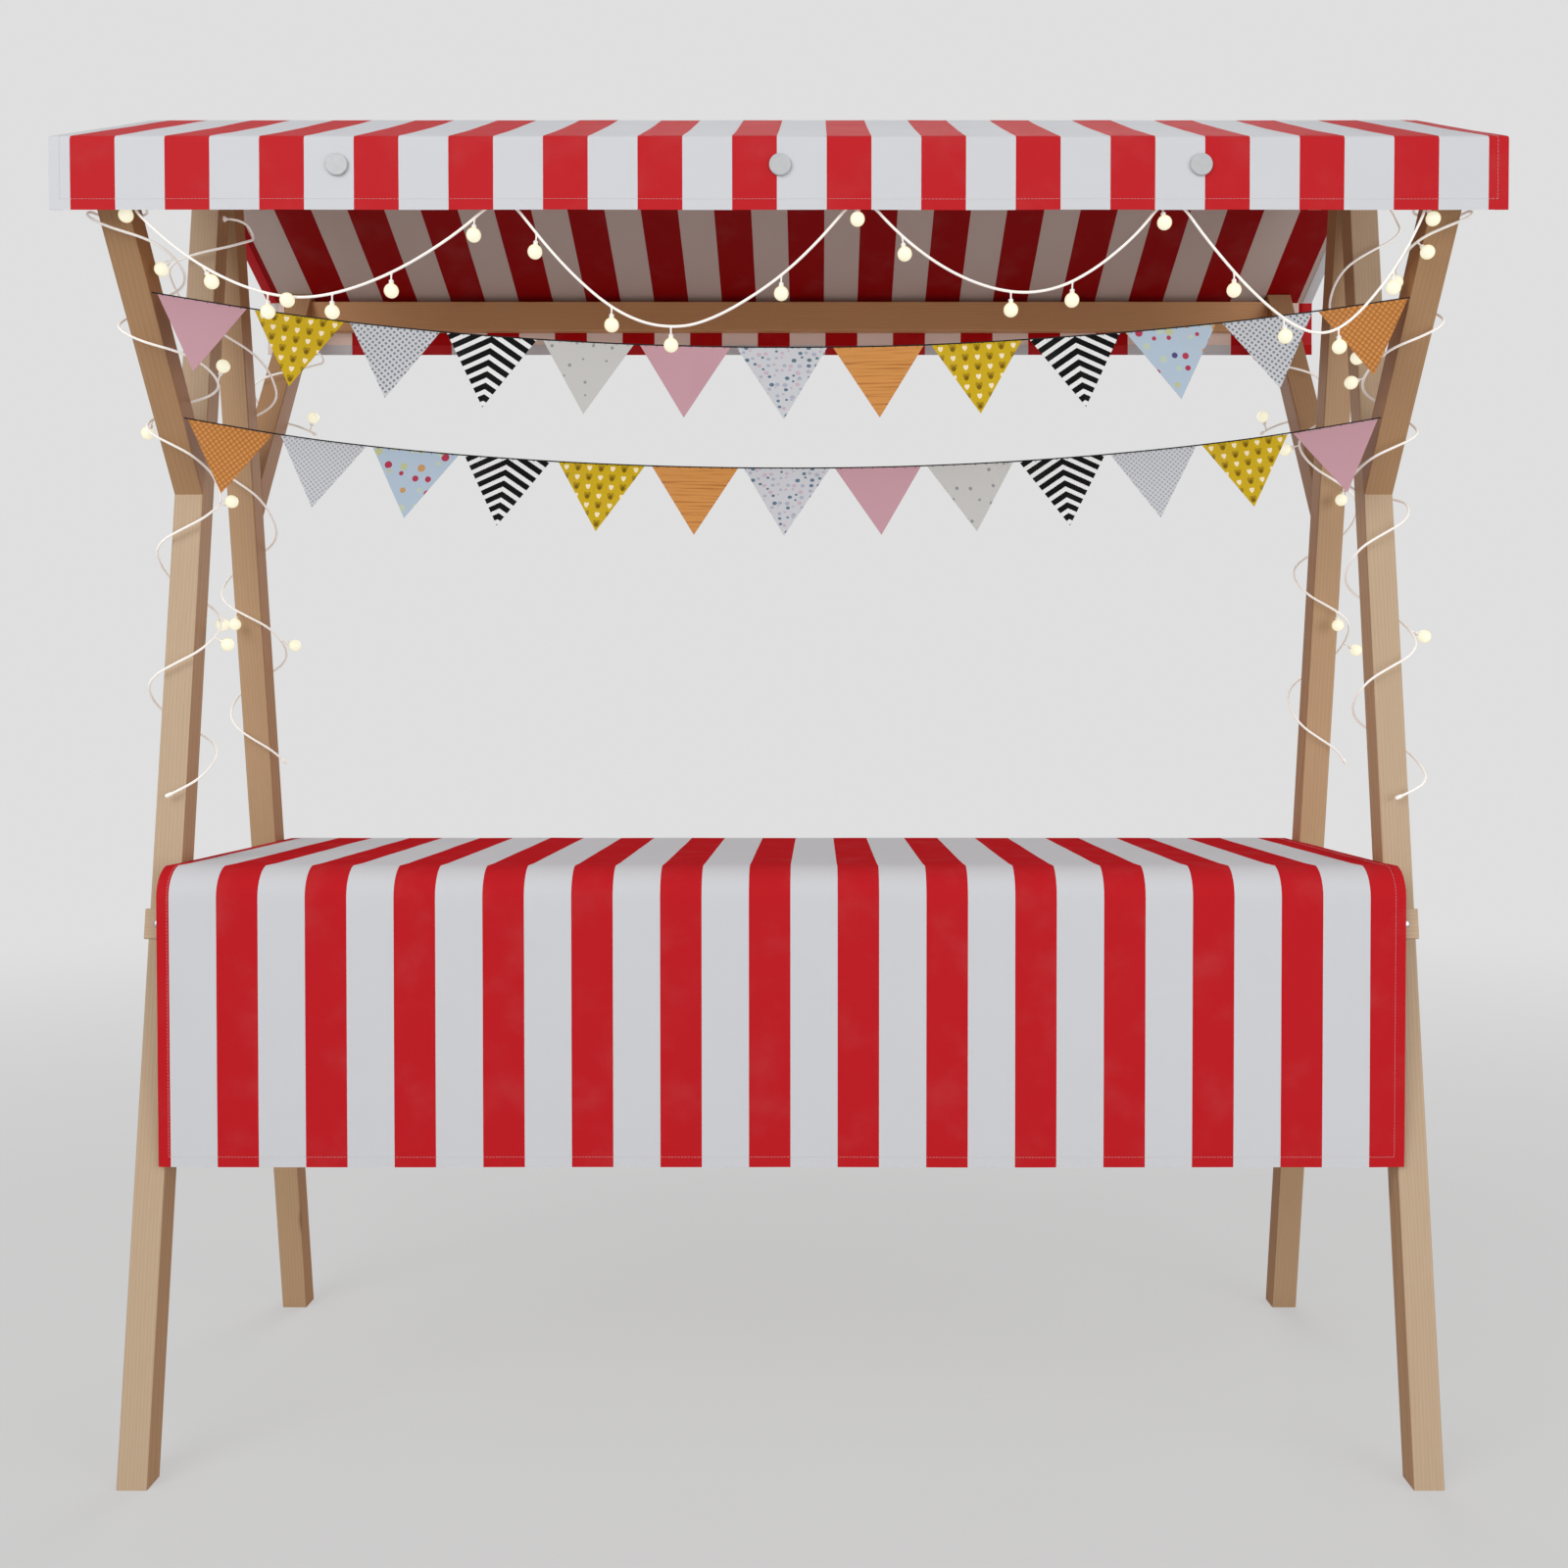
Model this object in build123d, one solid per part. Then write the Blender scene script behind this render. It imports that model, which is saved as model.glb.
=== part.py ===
"""A wooden market stall: leaning side frames, a cloth roof, a covered counter, flags and lamps.

Millimetres, +Z up. The origin is on the floor in the middle of the stall, the
customers' side faces -Y and X runs along the counter.
"""

import math
import os

from build123d import *

# Timber sections
timber = 44.0
edge_round = 2.0
batten = 22.0
seat_gap = 0.3

# Side frames: two posts that lean together, each with an arm that leans out
clear_width = 1798.0
foot_spread = 739.0
post_lean = 9.3
post_top_gap = 8.0
arm_joint_height = 1442.0
arm_nose = 37.4

# Roof cloth, seen from the side
roof_width = 1980.0
roof_depth = 850.0
eave_height = 1885.0
roof_rise = 149.0
ridge_flat = 176.0
valance_drop = 99.0
cloth = 2.0
eave_fold = 8.0
ridge_fold = 24.0

# Rails that carry the roof cloth
eaves_rail_height = 54.0
ridge_rail_width = 44.0
ridge_rail_inset = 4.0
ridge_plate_height = 60.0

# Counter
table_rail_reach = 799.0
table_rail_inset = 12.0
bearer_height = 42.0
plank = 18.0
plank_count = 5
plank_gap = 4.0
counter_depth = 608.0
side_clearance = 2.0

# Counter cloth
counter_fold = 45.0
front_hem_height = 444.0
rear_hem_height = 758.0
front_drop_width = 1810.0

# Round caps that hold the valances to the eaves rails
button_size = 30.0
button_thick = 4.0
button_drop = 39.0
button_places = (-599.0, 2.0, 573.0)

# Bunting: stiff flags that hang from two lengths of twine
twine = 2.0
flag_width = 129.0
flag_drop = 101.0
flag_thick = 1.0
upper_twine_share = 0.5914
lower_twine_share = 0.237
twine_forward = 20.7

# Light cord and its lamps
light_cord = 3.8
lamp_hang = 25.0
lamp_globe = 20.0
lamp_lead = 2.4
lamp_socket = 6.4
lamp_socket_length = 5.0
hook_wire = 2.5
hook_lip = 3.0
hook_drop = 27.3

# How far a wound cord stands off the middle of a post and of an arm
post_standoff = 36.0
arm_standoff = 44.0

lean = math.radians(post_lean)
inner_x = clear_width / 2
half_span = inner_x - seat_gap
side_x = inner_x + timber / 2
foot_y = foot_spread / 2
eave_y = roof_depth / 2
ridge_y = ridge_flat / 2
ridge_height = eave_height + roof_rise
post_top = ridge_height - post_top_gap
counter_y = counter_depth / 2
roof_pitch = math.atan2(roof_rise, eave_y - ridge_y)
joint_y = -foot_y + arm_joint_height * math.tan(lean)
nose_y = -eave_y + cloth + seat_gap
splay = math.atan2(joint_y - nose_y, eave_height - arm_nose - arm_joint_height)


def rounded_bar(plane, width, height, length):
    """A planed bar with softened long edges, extruded along the plane's normal."""
    return extrude(plane * RectangleRounded(width, height, edge_round), amount=length)


def bar_along_x(low_x, high_x, y_mid, z_mid, depth, height, turn=0.0):
    """A planed bar that runs along X, turned about its own axis."""
    up = Vector(0, math.sin(turn), math.cos(turn))
    section = Plane(origin=(low_x, y_mid, z_mid), x_dir=up, z_dir=(1, 0, 0))
    return rounded_bar(section, height, depth, high_x - low_x)


def front_post():
    """The left front post: level foot, plumb mitre against its rear partner."""
    direction = Vector(0, math.sin(lean), math.cos(lean))
    middle_y = -foot_y + timber / 2 / math.cos(lean)
    spare = timber
    start = Vector(-side_x, middle_y, 0) - direction * spare
    section = Plane(origin=start, x_dir=(1, 0, 0), z_dir=direction)
    post = rounded_bar(section, timber, timber, post_top / math.cos(lean) + 2 * spare)
    post = split(post, bisect_by=Plane.XY, keep=Keep.TOP)
    post = split(post, bisect_by=Plane.XY.offset(post_top), keep=Keep.BOTTOM)
    return split(post, bisect_by=Plane.XZ, keep=Keep.TOP)


def front_arm():
    """The left front arm: stands on the post's front face and ends under the eave."""
    direction = Vector(0, -math.sin(splay), math.cos(splay))
    across = Vector(0, math.cos(splay), math.sin(splay))
    joint = Vector(-side_x, joint_y, arm_joint_height)
    spare = 3 * timber
    start = joint + across * (timber / 2) - direction * spare
    section = Plane(origin=start, x_dir=(1, 0, 0), z_dir=direction)
    arm = rounded_bar(section, timber, timber, ridge_height - arm_joint_height + spare)
    outwards = (0, -math.cos(lean), math.sin(lean))
    post_face = Plane(origin=(0, -foot_y, 0), x_dir=(1, 0, 0), z_dir=outwards)
    arm = split(arm, bisect_by=post_face, keep=Keep.TOP)
    plumb_face = Plane(origin=(0, nose_y, 0), x_dir=(1, 0, 0), z_dir=(0, -1, 0))
    arm = split(arm, bisect_by=plumb_face, keep=Keep.BOTTOM)
    under_cloth = Plane(
        origin=(0, -eave_y, eave_height),
        x_dir=(1, 0, 0),
        z_dir=(0, -math.sin(roof_pitch), math.cos(roof_pitch)),
    ).offset(-cloth - seat_gap)
    arm = split(arm, bisect_by=under_cloth, keep=Keep.BOTTOM)
    outer_arris = arm.edges().filter_by(Axis.X).group_by(Axis.Y)[0].sort_by(Axis.Z)[-1]
    return fillet(outer_arris, eave_fold - cloth)


eaves_rail_y = nose_y + batten / 2
eaves_rail_top = eave_height - cloth - seat_gap - batten * math.tan(roof_pitch) / 4
eaves_rail_low = eaves_rail_top - eaves_rail_height


def front_eaves_rail():
    """A batten on edge between the front arms, just behind the valance."""
    z_mid = eaves_rail_low + eaves_rail_height / 2
    return bar_along_x(-inner_x, inner_x, eaves_rail_y, z_mid, batten, eaves_rail_height)


def front_ridge_rail():
    """A flat batten under one bend of the roof top, as long as the cloth is wide."""
    half = roof_width / 2 - ridge_rail_inset
    outer_y = -ridge_y
    top = ridge_height - cloth - seat_gap
    return bar_along_x(
        -half, half, outer_y + ridge_rail_width / 2, top - batten / 2, ridge_rail_width, batten
    )


def left_ridge_plate():
    """A board across the post tops, which ties each pair and carries the ridge rails."""
    top = ridge_height - cloth - seat_gap - batten
    face = Plane(origin=(-inner_x, 0, top - ridge_plate_height / 2), x_dir=(0, 1, 0), z_dir=(1, 0, 0))
    return rounded_bar(face, ridge_flat, ridge_plate_height, batten)


def table_rail_middle():
    """Middle of the front table rail, which lies flat on the posts' leaning faces."""
    y_mid = -foot_y + table_rail_reach * math.sin(lean) - timber / 2 * math.cos(lean)
    z_mid = table_rail_reach * math.cos(lean) + timber / 2 * math.sin(lean)
    return y_mid, z_mid


def front_table_rail():
    """A square rail bolted across the front posts, leaning with them."""
    y_mid, z_mid = table_rail_middle()
    half = inner_x + timber - table_rail_inset
    return bar_along_x(-half, half, y_mid, z_mid, timber, timber, lean)


bearer_low = table_rail_middle()[1] + timber / 2 * (math.cos(lean) + math.sin(lean)) + seat_gap
plank_low = bearer_low + bearer_height
counter_top = plank_low + plank
edge_outer_y = counter_y - cloth - seat_gap
edge_inner_y = edge_outer_y - timber
board_half = inner_x - side_clearance


def front_edge_board():
    """The counter's front edge, rounded over so that the cloth folds softly."""
    board = Pos(0, -(edge_outer_y + edge_inner_y) / 2, (bearer_low + counter_top) / 2) * Box(
        2 * board_half, timber, counter_top - bearer_low
    )
    top_front = board.edges().filter_by(Axis.X).sort_by(Axis.Z)[-2:].sort_by(Axis.Y)[0]
    return fillet(top_front, counter_fold - cloth - seat_gap)


def table_bearer(x_mid):
    """A bar under the planks, from one edge board to the other."""
    z_mid = bearer_low + bearer_height / 2
    middle = Plane(origin=(x_mid, -edge_inner_y, z_mid), x_dir=(1, 0, 0), z_dir=(0, 1, 0))
    return rounded_bar(middle, timber, bearer_height, 2 * edge_inner_y)


def counter_planks():
    """Loose planks side by side on the bearers, between the edge boards."""
    pitch = (2 * edge_inner_y + plank_gap - 2 * seat_gap) / plank_count
    first = -edge_inner_y + seat_gap + (pitch - plank_gap) / 2
    return [
        bar_along_x(
            -board_half, board_half, first + n * pitch, plank_low + plank / 2, pitch - plank_gap, plank
        )
        for n in range(plank_count)
    ]


def folded_sheet(bends, folds, width, hems):
    """A cloth of even thickness over rounded bends, cut off level at its two hems."""
    front, rear = bends[0][0], bends[-1][0]
    low = min(hems) - timber
    route = FilletPolyline((front, low), *bends, (rear, low), radius=folds)
    outside = make_face([route.edges(), Line(route @ 1, route @ 0)])
    inner_bends = offset(outside, amount=-cloth)
    outside = extrude(Plane.YZ * outside, amount=width / 2, both=True)
    inside = extrude(Plane.YZ * inner_bends, amount=width, both=True)
    sheet = outside - inside
    for side, hem in zip((-1, 1), hems):
        below = Pos(0, side * roof_depth / 2, hem - roof_depth / 2) * Box(2 * width, roof_depth, roof_depth)
        sheet = sheet - below
    return sheet


def roof_cloth():
    """One sheet over the ridge rails and eaves rails, with a plumb valance each side."""
    bends = [
        (-eave_y, eave_height),
        (-ridge_y, ridge_height),
        (ridge_y, ridge_height),
        (eave_y, eave_height),
    ]
    hem = eave_height - valance_drop
    return folded_sheet(bends, [eave_fold, ridge_fold, ridge_fold, eave_fold], roof_width, (hem, hem))


def counter_cloth():
    """The cover of the counter: a long drop in front and a short one behind."""
    top = counter_top + cloth + seat_gap
    bends = [(-counter_y, top), (counter_y, top)]
    sheet = folded_sheet(
        bends, [counter_fold, counter_fold], front_drop_width, (front_hem_height, rear_hem_height)
    )
    spare = timber
    between_posts = 2 * counter_y - (counter_y - edge_inner_y) + spare
    for side in (-1, 1):
        outside = Box(spare, between_posts, roof_depth, align=(Align.CENTER, Align.MIN, Align.CENTER))
        sheet = sheet - Pos(side * (board_half + spare / 2), -edge_inner_y, counter_top) * outside
    return sheet


def front_valance_buttons():
    """Flat round caps on the outside of the front valance."""
    caps = []
    for x in button_places:
        face = Plane(origin=(x, -eave_y, eave_height - button_drop), x_dir=(1, 0, 0), z_dir=(0, -1, 0))
        cap = extrude(face * Circle(button_size / 2), amount=button_thick)
        rim = cap.edges().filter_by(GeomType.CIRCLE).sort_by(Axis.Y)[0]
        caps.append(fillet(rim, button_thick / 3))
    return caps


# Twine routes, seen from the front: share of the half span, and how far below its left end.
# They have one point between each two flags.
upper_twine = [
    (-1, 0), (-0.8401, 24), (-0.691, 42), (-0.5363, 56.6), (-0.3828, 67.2), (-0.2292, 74.2),
    (-0.0746, 77.8), (0.0779, 78), (0.2326, 75), (0.3906, 67), (0.5452, 57), (0.6954, 44),
    (0.8523, 27), (1, 7),
]
lower_twine = [
    (-1, 0), (-0.8468, 25), (-0.6888, 43), (-0.5386, 55.7), (-0.3817, 65.5), (-0.2237, 72),
    (-0.069, 75), (0.0835, 75.2), (0.2359, 72), (0.3917, 65.4), (0.543, 55), (0.6977, 41),
    (0.849, 23.3), (1, -0.4),
]

# The festoon hangs in the plane of the eaves rail, over three hooks, and turns back at both
# ends. Each point is a share of the half span, and how far it is below the hooks' crest.
festoon_swags = [
    (-0.9803, 8), (-0.9614, 26), (-0.9336, 49), (-0.8991, 73), (-0.859, 95), (-0.8156, 113),
    (-0.77, 125), (-0.7233, 129), (-0.6765, 123), (-0.6265, 109), (-0.5742, 88), (-0.523, 61),
    (-0.4774, 32), (-0.4373, 0), (-0.405, 0), (-0.3794, 29), (-0.3461, 66), (-0.3082, 102),
    (-0.2659, 135), (-0.2259, 156), (-0.1869, 167), (-0.1424, 168), (-0.1057, 158), (-0.069, 142),
    (-0.0245, 117), (0.0189, 87), (0.059, 52), (0.0857, 25), (0.109, 0), (0.1391, 0), (0.1669, 28),
    (0.2036, 58), (0.247, 86), (0.2938, 107), (0.3427, 120), (0.3895, 122), (0.4351, 112),
    (0.4796, 90), (0.5208, 61), (0.553, 33), (0.5808, 0), (0.6109, 0), (0.6398, 37), (0.6732, 74),
    (0.7088, 110), (0.7477, 143), (0.7834, 166), (0.8134, 177), (0.8434, 175), (0.8735, 157),
    (0.9024, 129), (0.9313, 95), (0.9547, 61), (0.9714, 31), (0.9825, 8),
]
hook_places = (-0.4212, 0.1241, 0.5959)
hook_crest = eaves_rail_low - hook_drop

# The festoon's left end, from the start of the cord that winds down the left arm
festoon_turn = [(0.1, -0.4, 0), (3.3, -25.7, 1.5)]

# Lamps of the festoon: share of the half span, and the way that the lamp points
down = (0, 0, -1)
festoon_lamps = [
    (-0.9836, (-0.55, 0, -0.83)), (-0.8768, (0.5, 0, -0.87)), (-0.7778, down),
    (-0.7344, (-0.2, -0.9, -0.4)), (-0.6799, down), (-0.5897, down), (-0.4629, (0, -0.2, -1)),
    (-0.3683, (-0.1, 0, -1)), (-0.2548, down), (-0.1647, (0, 0.1, -1)), (0.0033, down),
    (0.1191, (0, -0.3, -0.95)), (0.1869, (0.15, 0, -1)), (0.3527, down), (0.4462, (0, 0.15, -1)),
    (0.582, (0.1, -0.2, -1)), (0.6921, down), (0.7678, (0.1, 0, -1)), (0.8512, (0.1, 0.1, -1)),
    (0.9347, down), (0.9834, (0.5, 0, -0.87)),
]


def front_arm_middle(z):
    """Where the middle of a front arm lies at a height."""
    return joint_y - (z - arm_joint_height) * math.tan(splay) + timber / 2 / math.cos(splay)


def front_post_middle(z):
    """Where the middle of a front post lies at a height."""
    return -foot_y + z * math.tan(lean) + timber / 2 / math.cos(lean)


def rear_arm_middle(z):
    """Where the middle of a rear arm lies at a height."""
    return -front_arm_middle(z)


def rear_post_middle(z):
    """Where the middle of a rear post lies at a height."""
    return -front_post_middle(z)


# Timbers that cords wind round: where the middle is, how far the cord stands off it, and the
# heights between which the shares of the stops run
front_arms = (front_arm_middle, arm_standoff, arm_joint_height, eave_height)
front_posts = (front_post_middle, post_standoff, 0, arm_joint_height)
rear_arms = (rear_arm_middle, arm_standoff, arm_joint_height, eave_height)
rear_posts = (rear_post_middle, post_standoff, 0, arm_joint_height)
in_front, between, behind = -1, 0, 1
staple_reach = timber / 2 + seat_gap

# Wound cords, stop by stop down the sides of the timbers: how far to the side of the
# timber's middle, the share of its height, the timber, and on which side the cord crosses
# to the next stop. Without a side it runs on along the same face.
front_left_stops = [
    (33, 0.8352, front_arms, behind), (-42, 0.8149, front_arms, in_front),
    (66, 0.6772, front_arms, behind), (-41, 0.5214, front_arms, in_front),
    (77, 0.3679, front_arms, behind), (-40, 0.2348, front_arms, in_front),
    (38, 0.0655, front_arms, None), (45, 0.9945, front_posts, in_front),
    (-49, 0.9286, front_posts, behind), (50, 0.8523, front_posts, in_front),
    (-49, 0.7829, front_posts, behind), (54, 0.7143, front_posts, in_front),
    (-49, 0.6449, front_posts, None),
]
front_right_stops = [
    (-33, 0.8352, front_arms, behind), (42, 0.8172, front_arms, in_front),
    (-42, 0.684, front_arms, behind), (39, 0.535, front_arms, in_front),
    (-52, 0.3815, front_arms, behind), (41, 0.2144, front_arms, in_front),
    (-39, 0.0655, front_arms, behind), (51, 0.9924, front_posts, in_front),
    (-48, 0.9202, front_posts, behind), (51, 0.8488, front_posts, in_front),
    (-46, 0.7788, front_posts, behind), (55, 0.706, front_posts, in_front),
    (-46, 0.6491, front_posts, None),
]
rear_left_stops = [
    (staple_reach, 1.3148, front_posts, None), (55, 1.3148, front_posts, None),
    (75, 1.2913, front_posts, in_front), (-57, 1.2441, front_posts, between),
    (63, 1.1477, rear_posts, behind), (-48, 1.0784, rear_posts, in_front),
    (48, 0.9917, rear_posts, behind), (-48, 0.9161, rear_posts, in_front),
    (52, 0.8467, rear_posts, behind), (-46, 0.7753, rear_posts, in_front),
    (52, 0.6935, rear_posts, None),
]
rear_right_stops = [
    (staple_reach, 1.3329, front_posts, None), (48, 1.3329, front_posts, None),
    (62, 1.3093, front_posts, in_front), (-51, 1.2282, front_posts, between),
    (48, 1.1512, rear_posts, behind), (-53, 1.0749, rear_posts, in_front),
    (48, 0.9958, rear_posts, behind), (-50, 0.9265, rear_posts, in_front),
    (47, 0.8571, rear_posts, behind), (-48, 0.7767, rear_posts, in_front),
    (53, 0.6935, rear_posts, None),
]
rear_left_arm_stops = [
    (staple_reach, 0.7517, rear_arms, None), (52, 0.7517, rear_arms, None),
    (70, 0.6907, rear_arms, in_front), (-43, 0.5305, rear_arms, behind),
    (80, 0.3341, rear_arms, None),
]
rear_right_arm_stops = [
    (-staple_reach, 0.7743, rear_arms, None), (-52, 0.7743, rear_arms, None),
    (-70, 0.7133, rear_arms, in_front), (43, 0.5508, rear_arms, behind),
    (-80, 0.3341, rear_arms, None),
]

# Points of one crossing: share of the way down, share of the side reach and of the standoff
crossing_shares = [
    (1 / 6, 0.92, 0.62), (2 / 6, 0.62, 0.92), (3 / 6, 0.0, 1.0), (4 / 6, 0.62, 0.92), (5 / 6, 0.92, 0.62),
]

# Lamps of the wound cords: number of the run and the way that the lamp points
front_left_lamps = [
    (11, (-0.75, 0.2, -0.6)), (24, (0.3, -0.1, 0.7)), (29, (-0.4, 0.35, -0.6)), (37, (0.9, -0.3, 0.2)),
    (47, (-0.12, 0.8, -0.5)), (49, (0.9, -0.2, -0.5)),
]
front_right_lamps = [
    (10, (0.35, -0.55, -0.7)), (12, (-0.1, -0.45, -0.8)), (23, (-0.9, 0, 0.4)), (24, (-0.8, -0.3, -0.3)),
    (53, (0.9, -0.1, -0.4)),
]
rear_left_lamps = [(34, (0, -0.3, -1)), (37, (0.9, 0, -0.3))]
rear_right_lamps = [
    (19, (-0.9, 0, -0.3)), (23, (-0.3, -0.3, -0.9)), (35, (0, -0.3, -1)), (38, (0.9, 0, -0.5)),
]
rear_left_arm_lamps = [(12, (0.3, -0.2, 0.9))]
rear_right_arm_lamps = [(12, (-0.3, -0.2, 0.9))]

# Each wound cord: the middle of its timbers, its stops, how many points of its last
# crossing it has, and its lamps
wound_cords = [
    ("front_left", -side_x, front_left_stops, 3, front_left_lamps),
    ("front_right", side_x, front_right_stops, 3, front_right_lamps),
    ("rear_left", -side_x, rear_left_stops, 5, rear_left_lamps),
    ("rear_right", side_x, rear_right_stops, 5, rear_right_lamps),
    ("rear_left_arm", -side_x, rear_left_arm_stops, 5, rear_left_arm_lamps),
    ("rear_right_arm", side_x, rear_right_arm_stops, 5, rear_right_arm_lamps),
]


def stop_height(stop):
    """The height of a stop on its timber."""
    _, share, (_, _, low, high), _ = stop
    return low + share * (high - low)


def wound_route(middle_x, stops, last_points):
    """Points of a cord wound round timbers, which ends in the midst of its last crossing."""
    points = []
    for stop, following in zip(stops, stops[1:]):
        reach, _, (middle, standoff, _, _), side = stop
        height = stop_height(stop)
        points.append(Vector(middle_x + reach, middle(height), height))
        if side is None:
            continue
        next_reach, _, (next_middle, next_standoff, _, _), _ = following
        next_height = stop_height(following)
        for way_down, reach_share, standoff_share in crossing_shares:
            x = reach_share * (reach if way_down < 0.5 else next_reach)
            off = side * standoff_share * (standoff + (next_standoff - standoff) * way_down)
            y = middle(height) + (next_middle(next_height) - middle(height)) * way_down
            points.append(Vector(middle_x + x, y + off, height + (next_height - height) * way_down))
    return points[: len(points) - len(crossing_shares) + last_points]


def cord_tube(name, points, size):
    """A round cord along straight runs joined by arcs as large as the runs allow."""
    radii = []
    for before, here, after in zip(points, points[1:], points[2:]):
        run_in, run_out = here - before, after - here
        half_turn = math.radians(run_in.get_angle(run_out)) / 2
        radii.append(0.45 * min(run_in.length, run_out.length) / math.tan(half_turn))
    path = FilletPolyline(*points, radius=radii)
    tube = sweep(Plane(origin=path @ 0, z_dir=path % 0) * Circle(size / 2), path=path)
    expected = path.length * math.pi * size**2 / 4
    runs = [(b - a).length for a, b in zip(points, points[1:])]
    print(
        f"{name}: length {path.length:.0f}, {len(points)} points, runs {min(runs):.0f} to {max(runs):.0f},"
        f" radii from {min(radii):.0f}, volume {tube.volume / expected:.4f} of section times length"
    )
    print("  radii", *(f"{radius:.0f}" for radius in radii))
    save(name, tube)


def twine_route(places, end_share):
    """A twine between the front arms, from its share of their height."""
    end_height = arm_joint_height + end_share * (eave_height - arm_joint_height)
    y = front_arm_middle(end_height) - twine_forward
    return [Vector(share * half_span, y, end_height - drop) for share, drop in places]


def flags_under(route):
    """One stiff triangle under each straight stretch of the twine, square to it."""
    flags = []
    for start, end in zip(route, route[1:]):
        along = (end - start).normalized()
        drop = Vector(along.Z, 0, -along.X)
        middle = (start + end) / 2 + drop * (twine / 2 + seat_gap)
        half = along * flag_width / 2
        outline = Polyline(middle - half, middle + half, middle + drop * flag_drop, close=True)
        flags.append(extrude(make_face(outline), amount=flag_thick / 2, dir=(0, 1, 0), both=True))
    return flags


def lamp(place, along, way):
    """A globe on a short lead that starts on the cord and points the given way."""
    way = Vector(*way).normalized()
    angle = math.radians(way.get_angle(along))
    start = light_cord / 2 / math.sin(angle) + lamp_lead / 2 / abs(math.tan(angle)) + seat_gap
    globe = lamp_globe / 2
    join = lamp_hang - math.sqrt(globe**2 - (lamp_socket / 2) ** 2)
    shoulder = join - lamp_socket_length
    stem = Polyline(
        (0, start), (lamp_lead / 2, start), (lamp_lead / 2, shoulder), (lamp_socket / 2, shoulder),
        (lamp_socket / 2, join),
    )
    round_end = ThreePointArc((lamp_socket / 2, join), (globe, lamp_hang), (0, lamp_hang + globe))
    half = make_face(stem + round_end + Line((0, lamp_hang + globe), (0, start)))
    solid = revolve(Plane.XZ * half, axis=Axis.Z)
    return Plane(origin=place, z_dir=way) * solid


def festoon_route():
    """The festoon's points, with its two ends turned back beside the arms."""
    swags = [Vector(share * half_span, eaves_rail_y, hook_crest - drop) for share, drop in festoon_swags]
    left_start = wound_route(-side_x, front_left_stops, 0)[0]
    right_start = wound_route(side_x, front_right_stops, 0)[0]
    left = [left_start + Vector(*turn) for turn in festoon_turn]
    right = [right_start + Vector(-x, y, z) for x, y, z in festoon_turn]
    return left + swags + right[::-1]


def lamps_at_places(points, lamps):
    """Lamps at shares of the half span."""
    solids = []
    for share, way in lamps:
        x = share * half_span
        before, after = next((a, b) for a, b in zip(points[1:], points[2:]) if a.X <= x < b.X)
        place = before + (after - before) * ((x - before.X) / (after.X - before.X))
        solids.append(lamp(place, after - before, way))
    return solids


def lamps_on_runs(points, lamps):
    """Lamps at the middles of numbered runs."""
    return [lamp((points[n] + points[n + 1]) / 2, points[n + 1] - points[n], way) for n, way in lamps]


def eaves_hooks():
    """Open wire hooks in the underside of the front eaves rail, which carry the festoon."""
    bend = light_cord / 2 + seat_gap + hook_wire / 2
    hooks = []
    for share in hook_places:
        x = share * half_span
        top = eaves_rail_low - seat_gap
        shank = Line((x, eaves_rail_y + bend, top), (x, eaves_rail_y + bend, hook_crest))
        low = (x, eaves_rail_y, hook_crest - bend)
        bowl = ThreePointArc(shank @ 1, low, (x, eaves_rail_y - bend, hook_crest))
        lip = Line(bowl @ 1, (x, eaves_rail_y - bend, hook_crest + hook_lip))
        path = Wire([shank, bowl, lip])
        hooks.append(sweep(Plane(origin=path @ 0, z_dir=path % 0) * Circle(hook_wire / 2), path=path))
    return hooks


def mirrored(shapes, plane):
    """The same pieces on the other side of a plane."""
    if isinstance(shapes, list):
        return [mirror(shape, about=plane) for shape in shapes]
    return mirror(shapes, about=plane)


def save(name, shapes):
    """Write one node, of one solid or of several that don't touch."""
    if isinstance(shapes, list):
        shapes = Compound(children=[solid for shape in shapes for solid in shape.solids()])
    elif len(shapes.solids()) == 1:
        shapes = shapes.solids()[0]
    export_step(shapes, os.path.join("parts", name + ".step"))


def save_four(name, front_left):
    """The same piece at the four corners of the stall."""
    front_right = mirrored(front_left, Plane.YZ)
    save("front_left_" + name, front_left)
    save("front_right_" + name, front_right)
    save("rear_left_" + name, mirrored(front_left, Plane.XZ))
    save("rear_right_" + name, mirrored(front_right, Plane.XZ))


def save_front_and_rear(name, front):
    """The same piece on the customers' side and on the keeper's side."""
    save("front_" + name, front)
    save("rear_" + name, mirrored(front, Plane.XZ))


os.makedirs("parts", exist_ok=True)
save_four("post", front_post())
save_four("arm", front_arm())
save_front_and_rear("eaves_rail", front_eaves_rail())
save_front_and_rear("ridge_rail", front_ridge_rail())
save("left_ridge_plate", left_ridge_plate())
save("right_ridge_plate", mirrored(left_ridge_plate(), Plane.YZ))
save_front_and_rear("table_rail", front_table_rail())
save_front_and_rear("edge_board", front_edge_board())
side_bearer_x = inner_x - timber / 2
save("left_table_bearer", table_bearer(-side_bearer_x))
save("middle_table_bearer", table_bearer(0.0))
save("right_table_bearer", table_bearer(side_bearer_x))
save("counter_planks", counter_planks())
save("roof_cloth", roof_cloth())
save("counter_cloth", counter_cloth())
save_front_and_rear("valance_buttons", front_valance_buttons())
upper_route = twine_route(upper_twine, upper_twine_share)
lower_route = twine_route(lower_twine, lower_twine_share)
cord_tube("upper_bunting_string", upper_route, twine)
cord_tube("lower_bunting_string", lower_route, twine)
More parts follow.
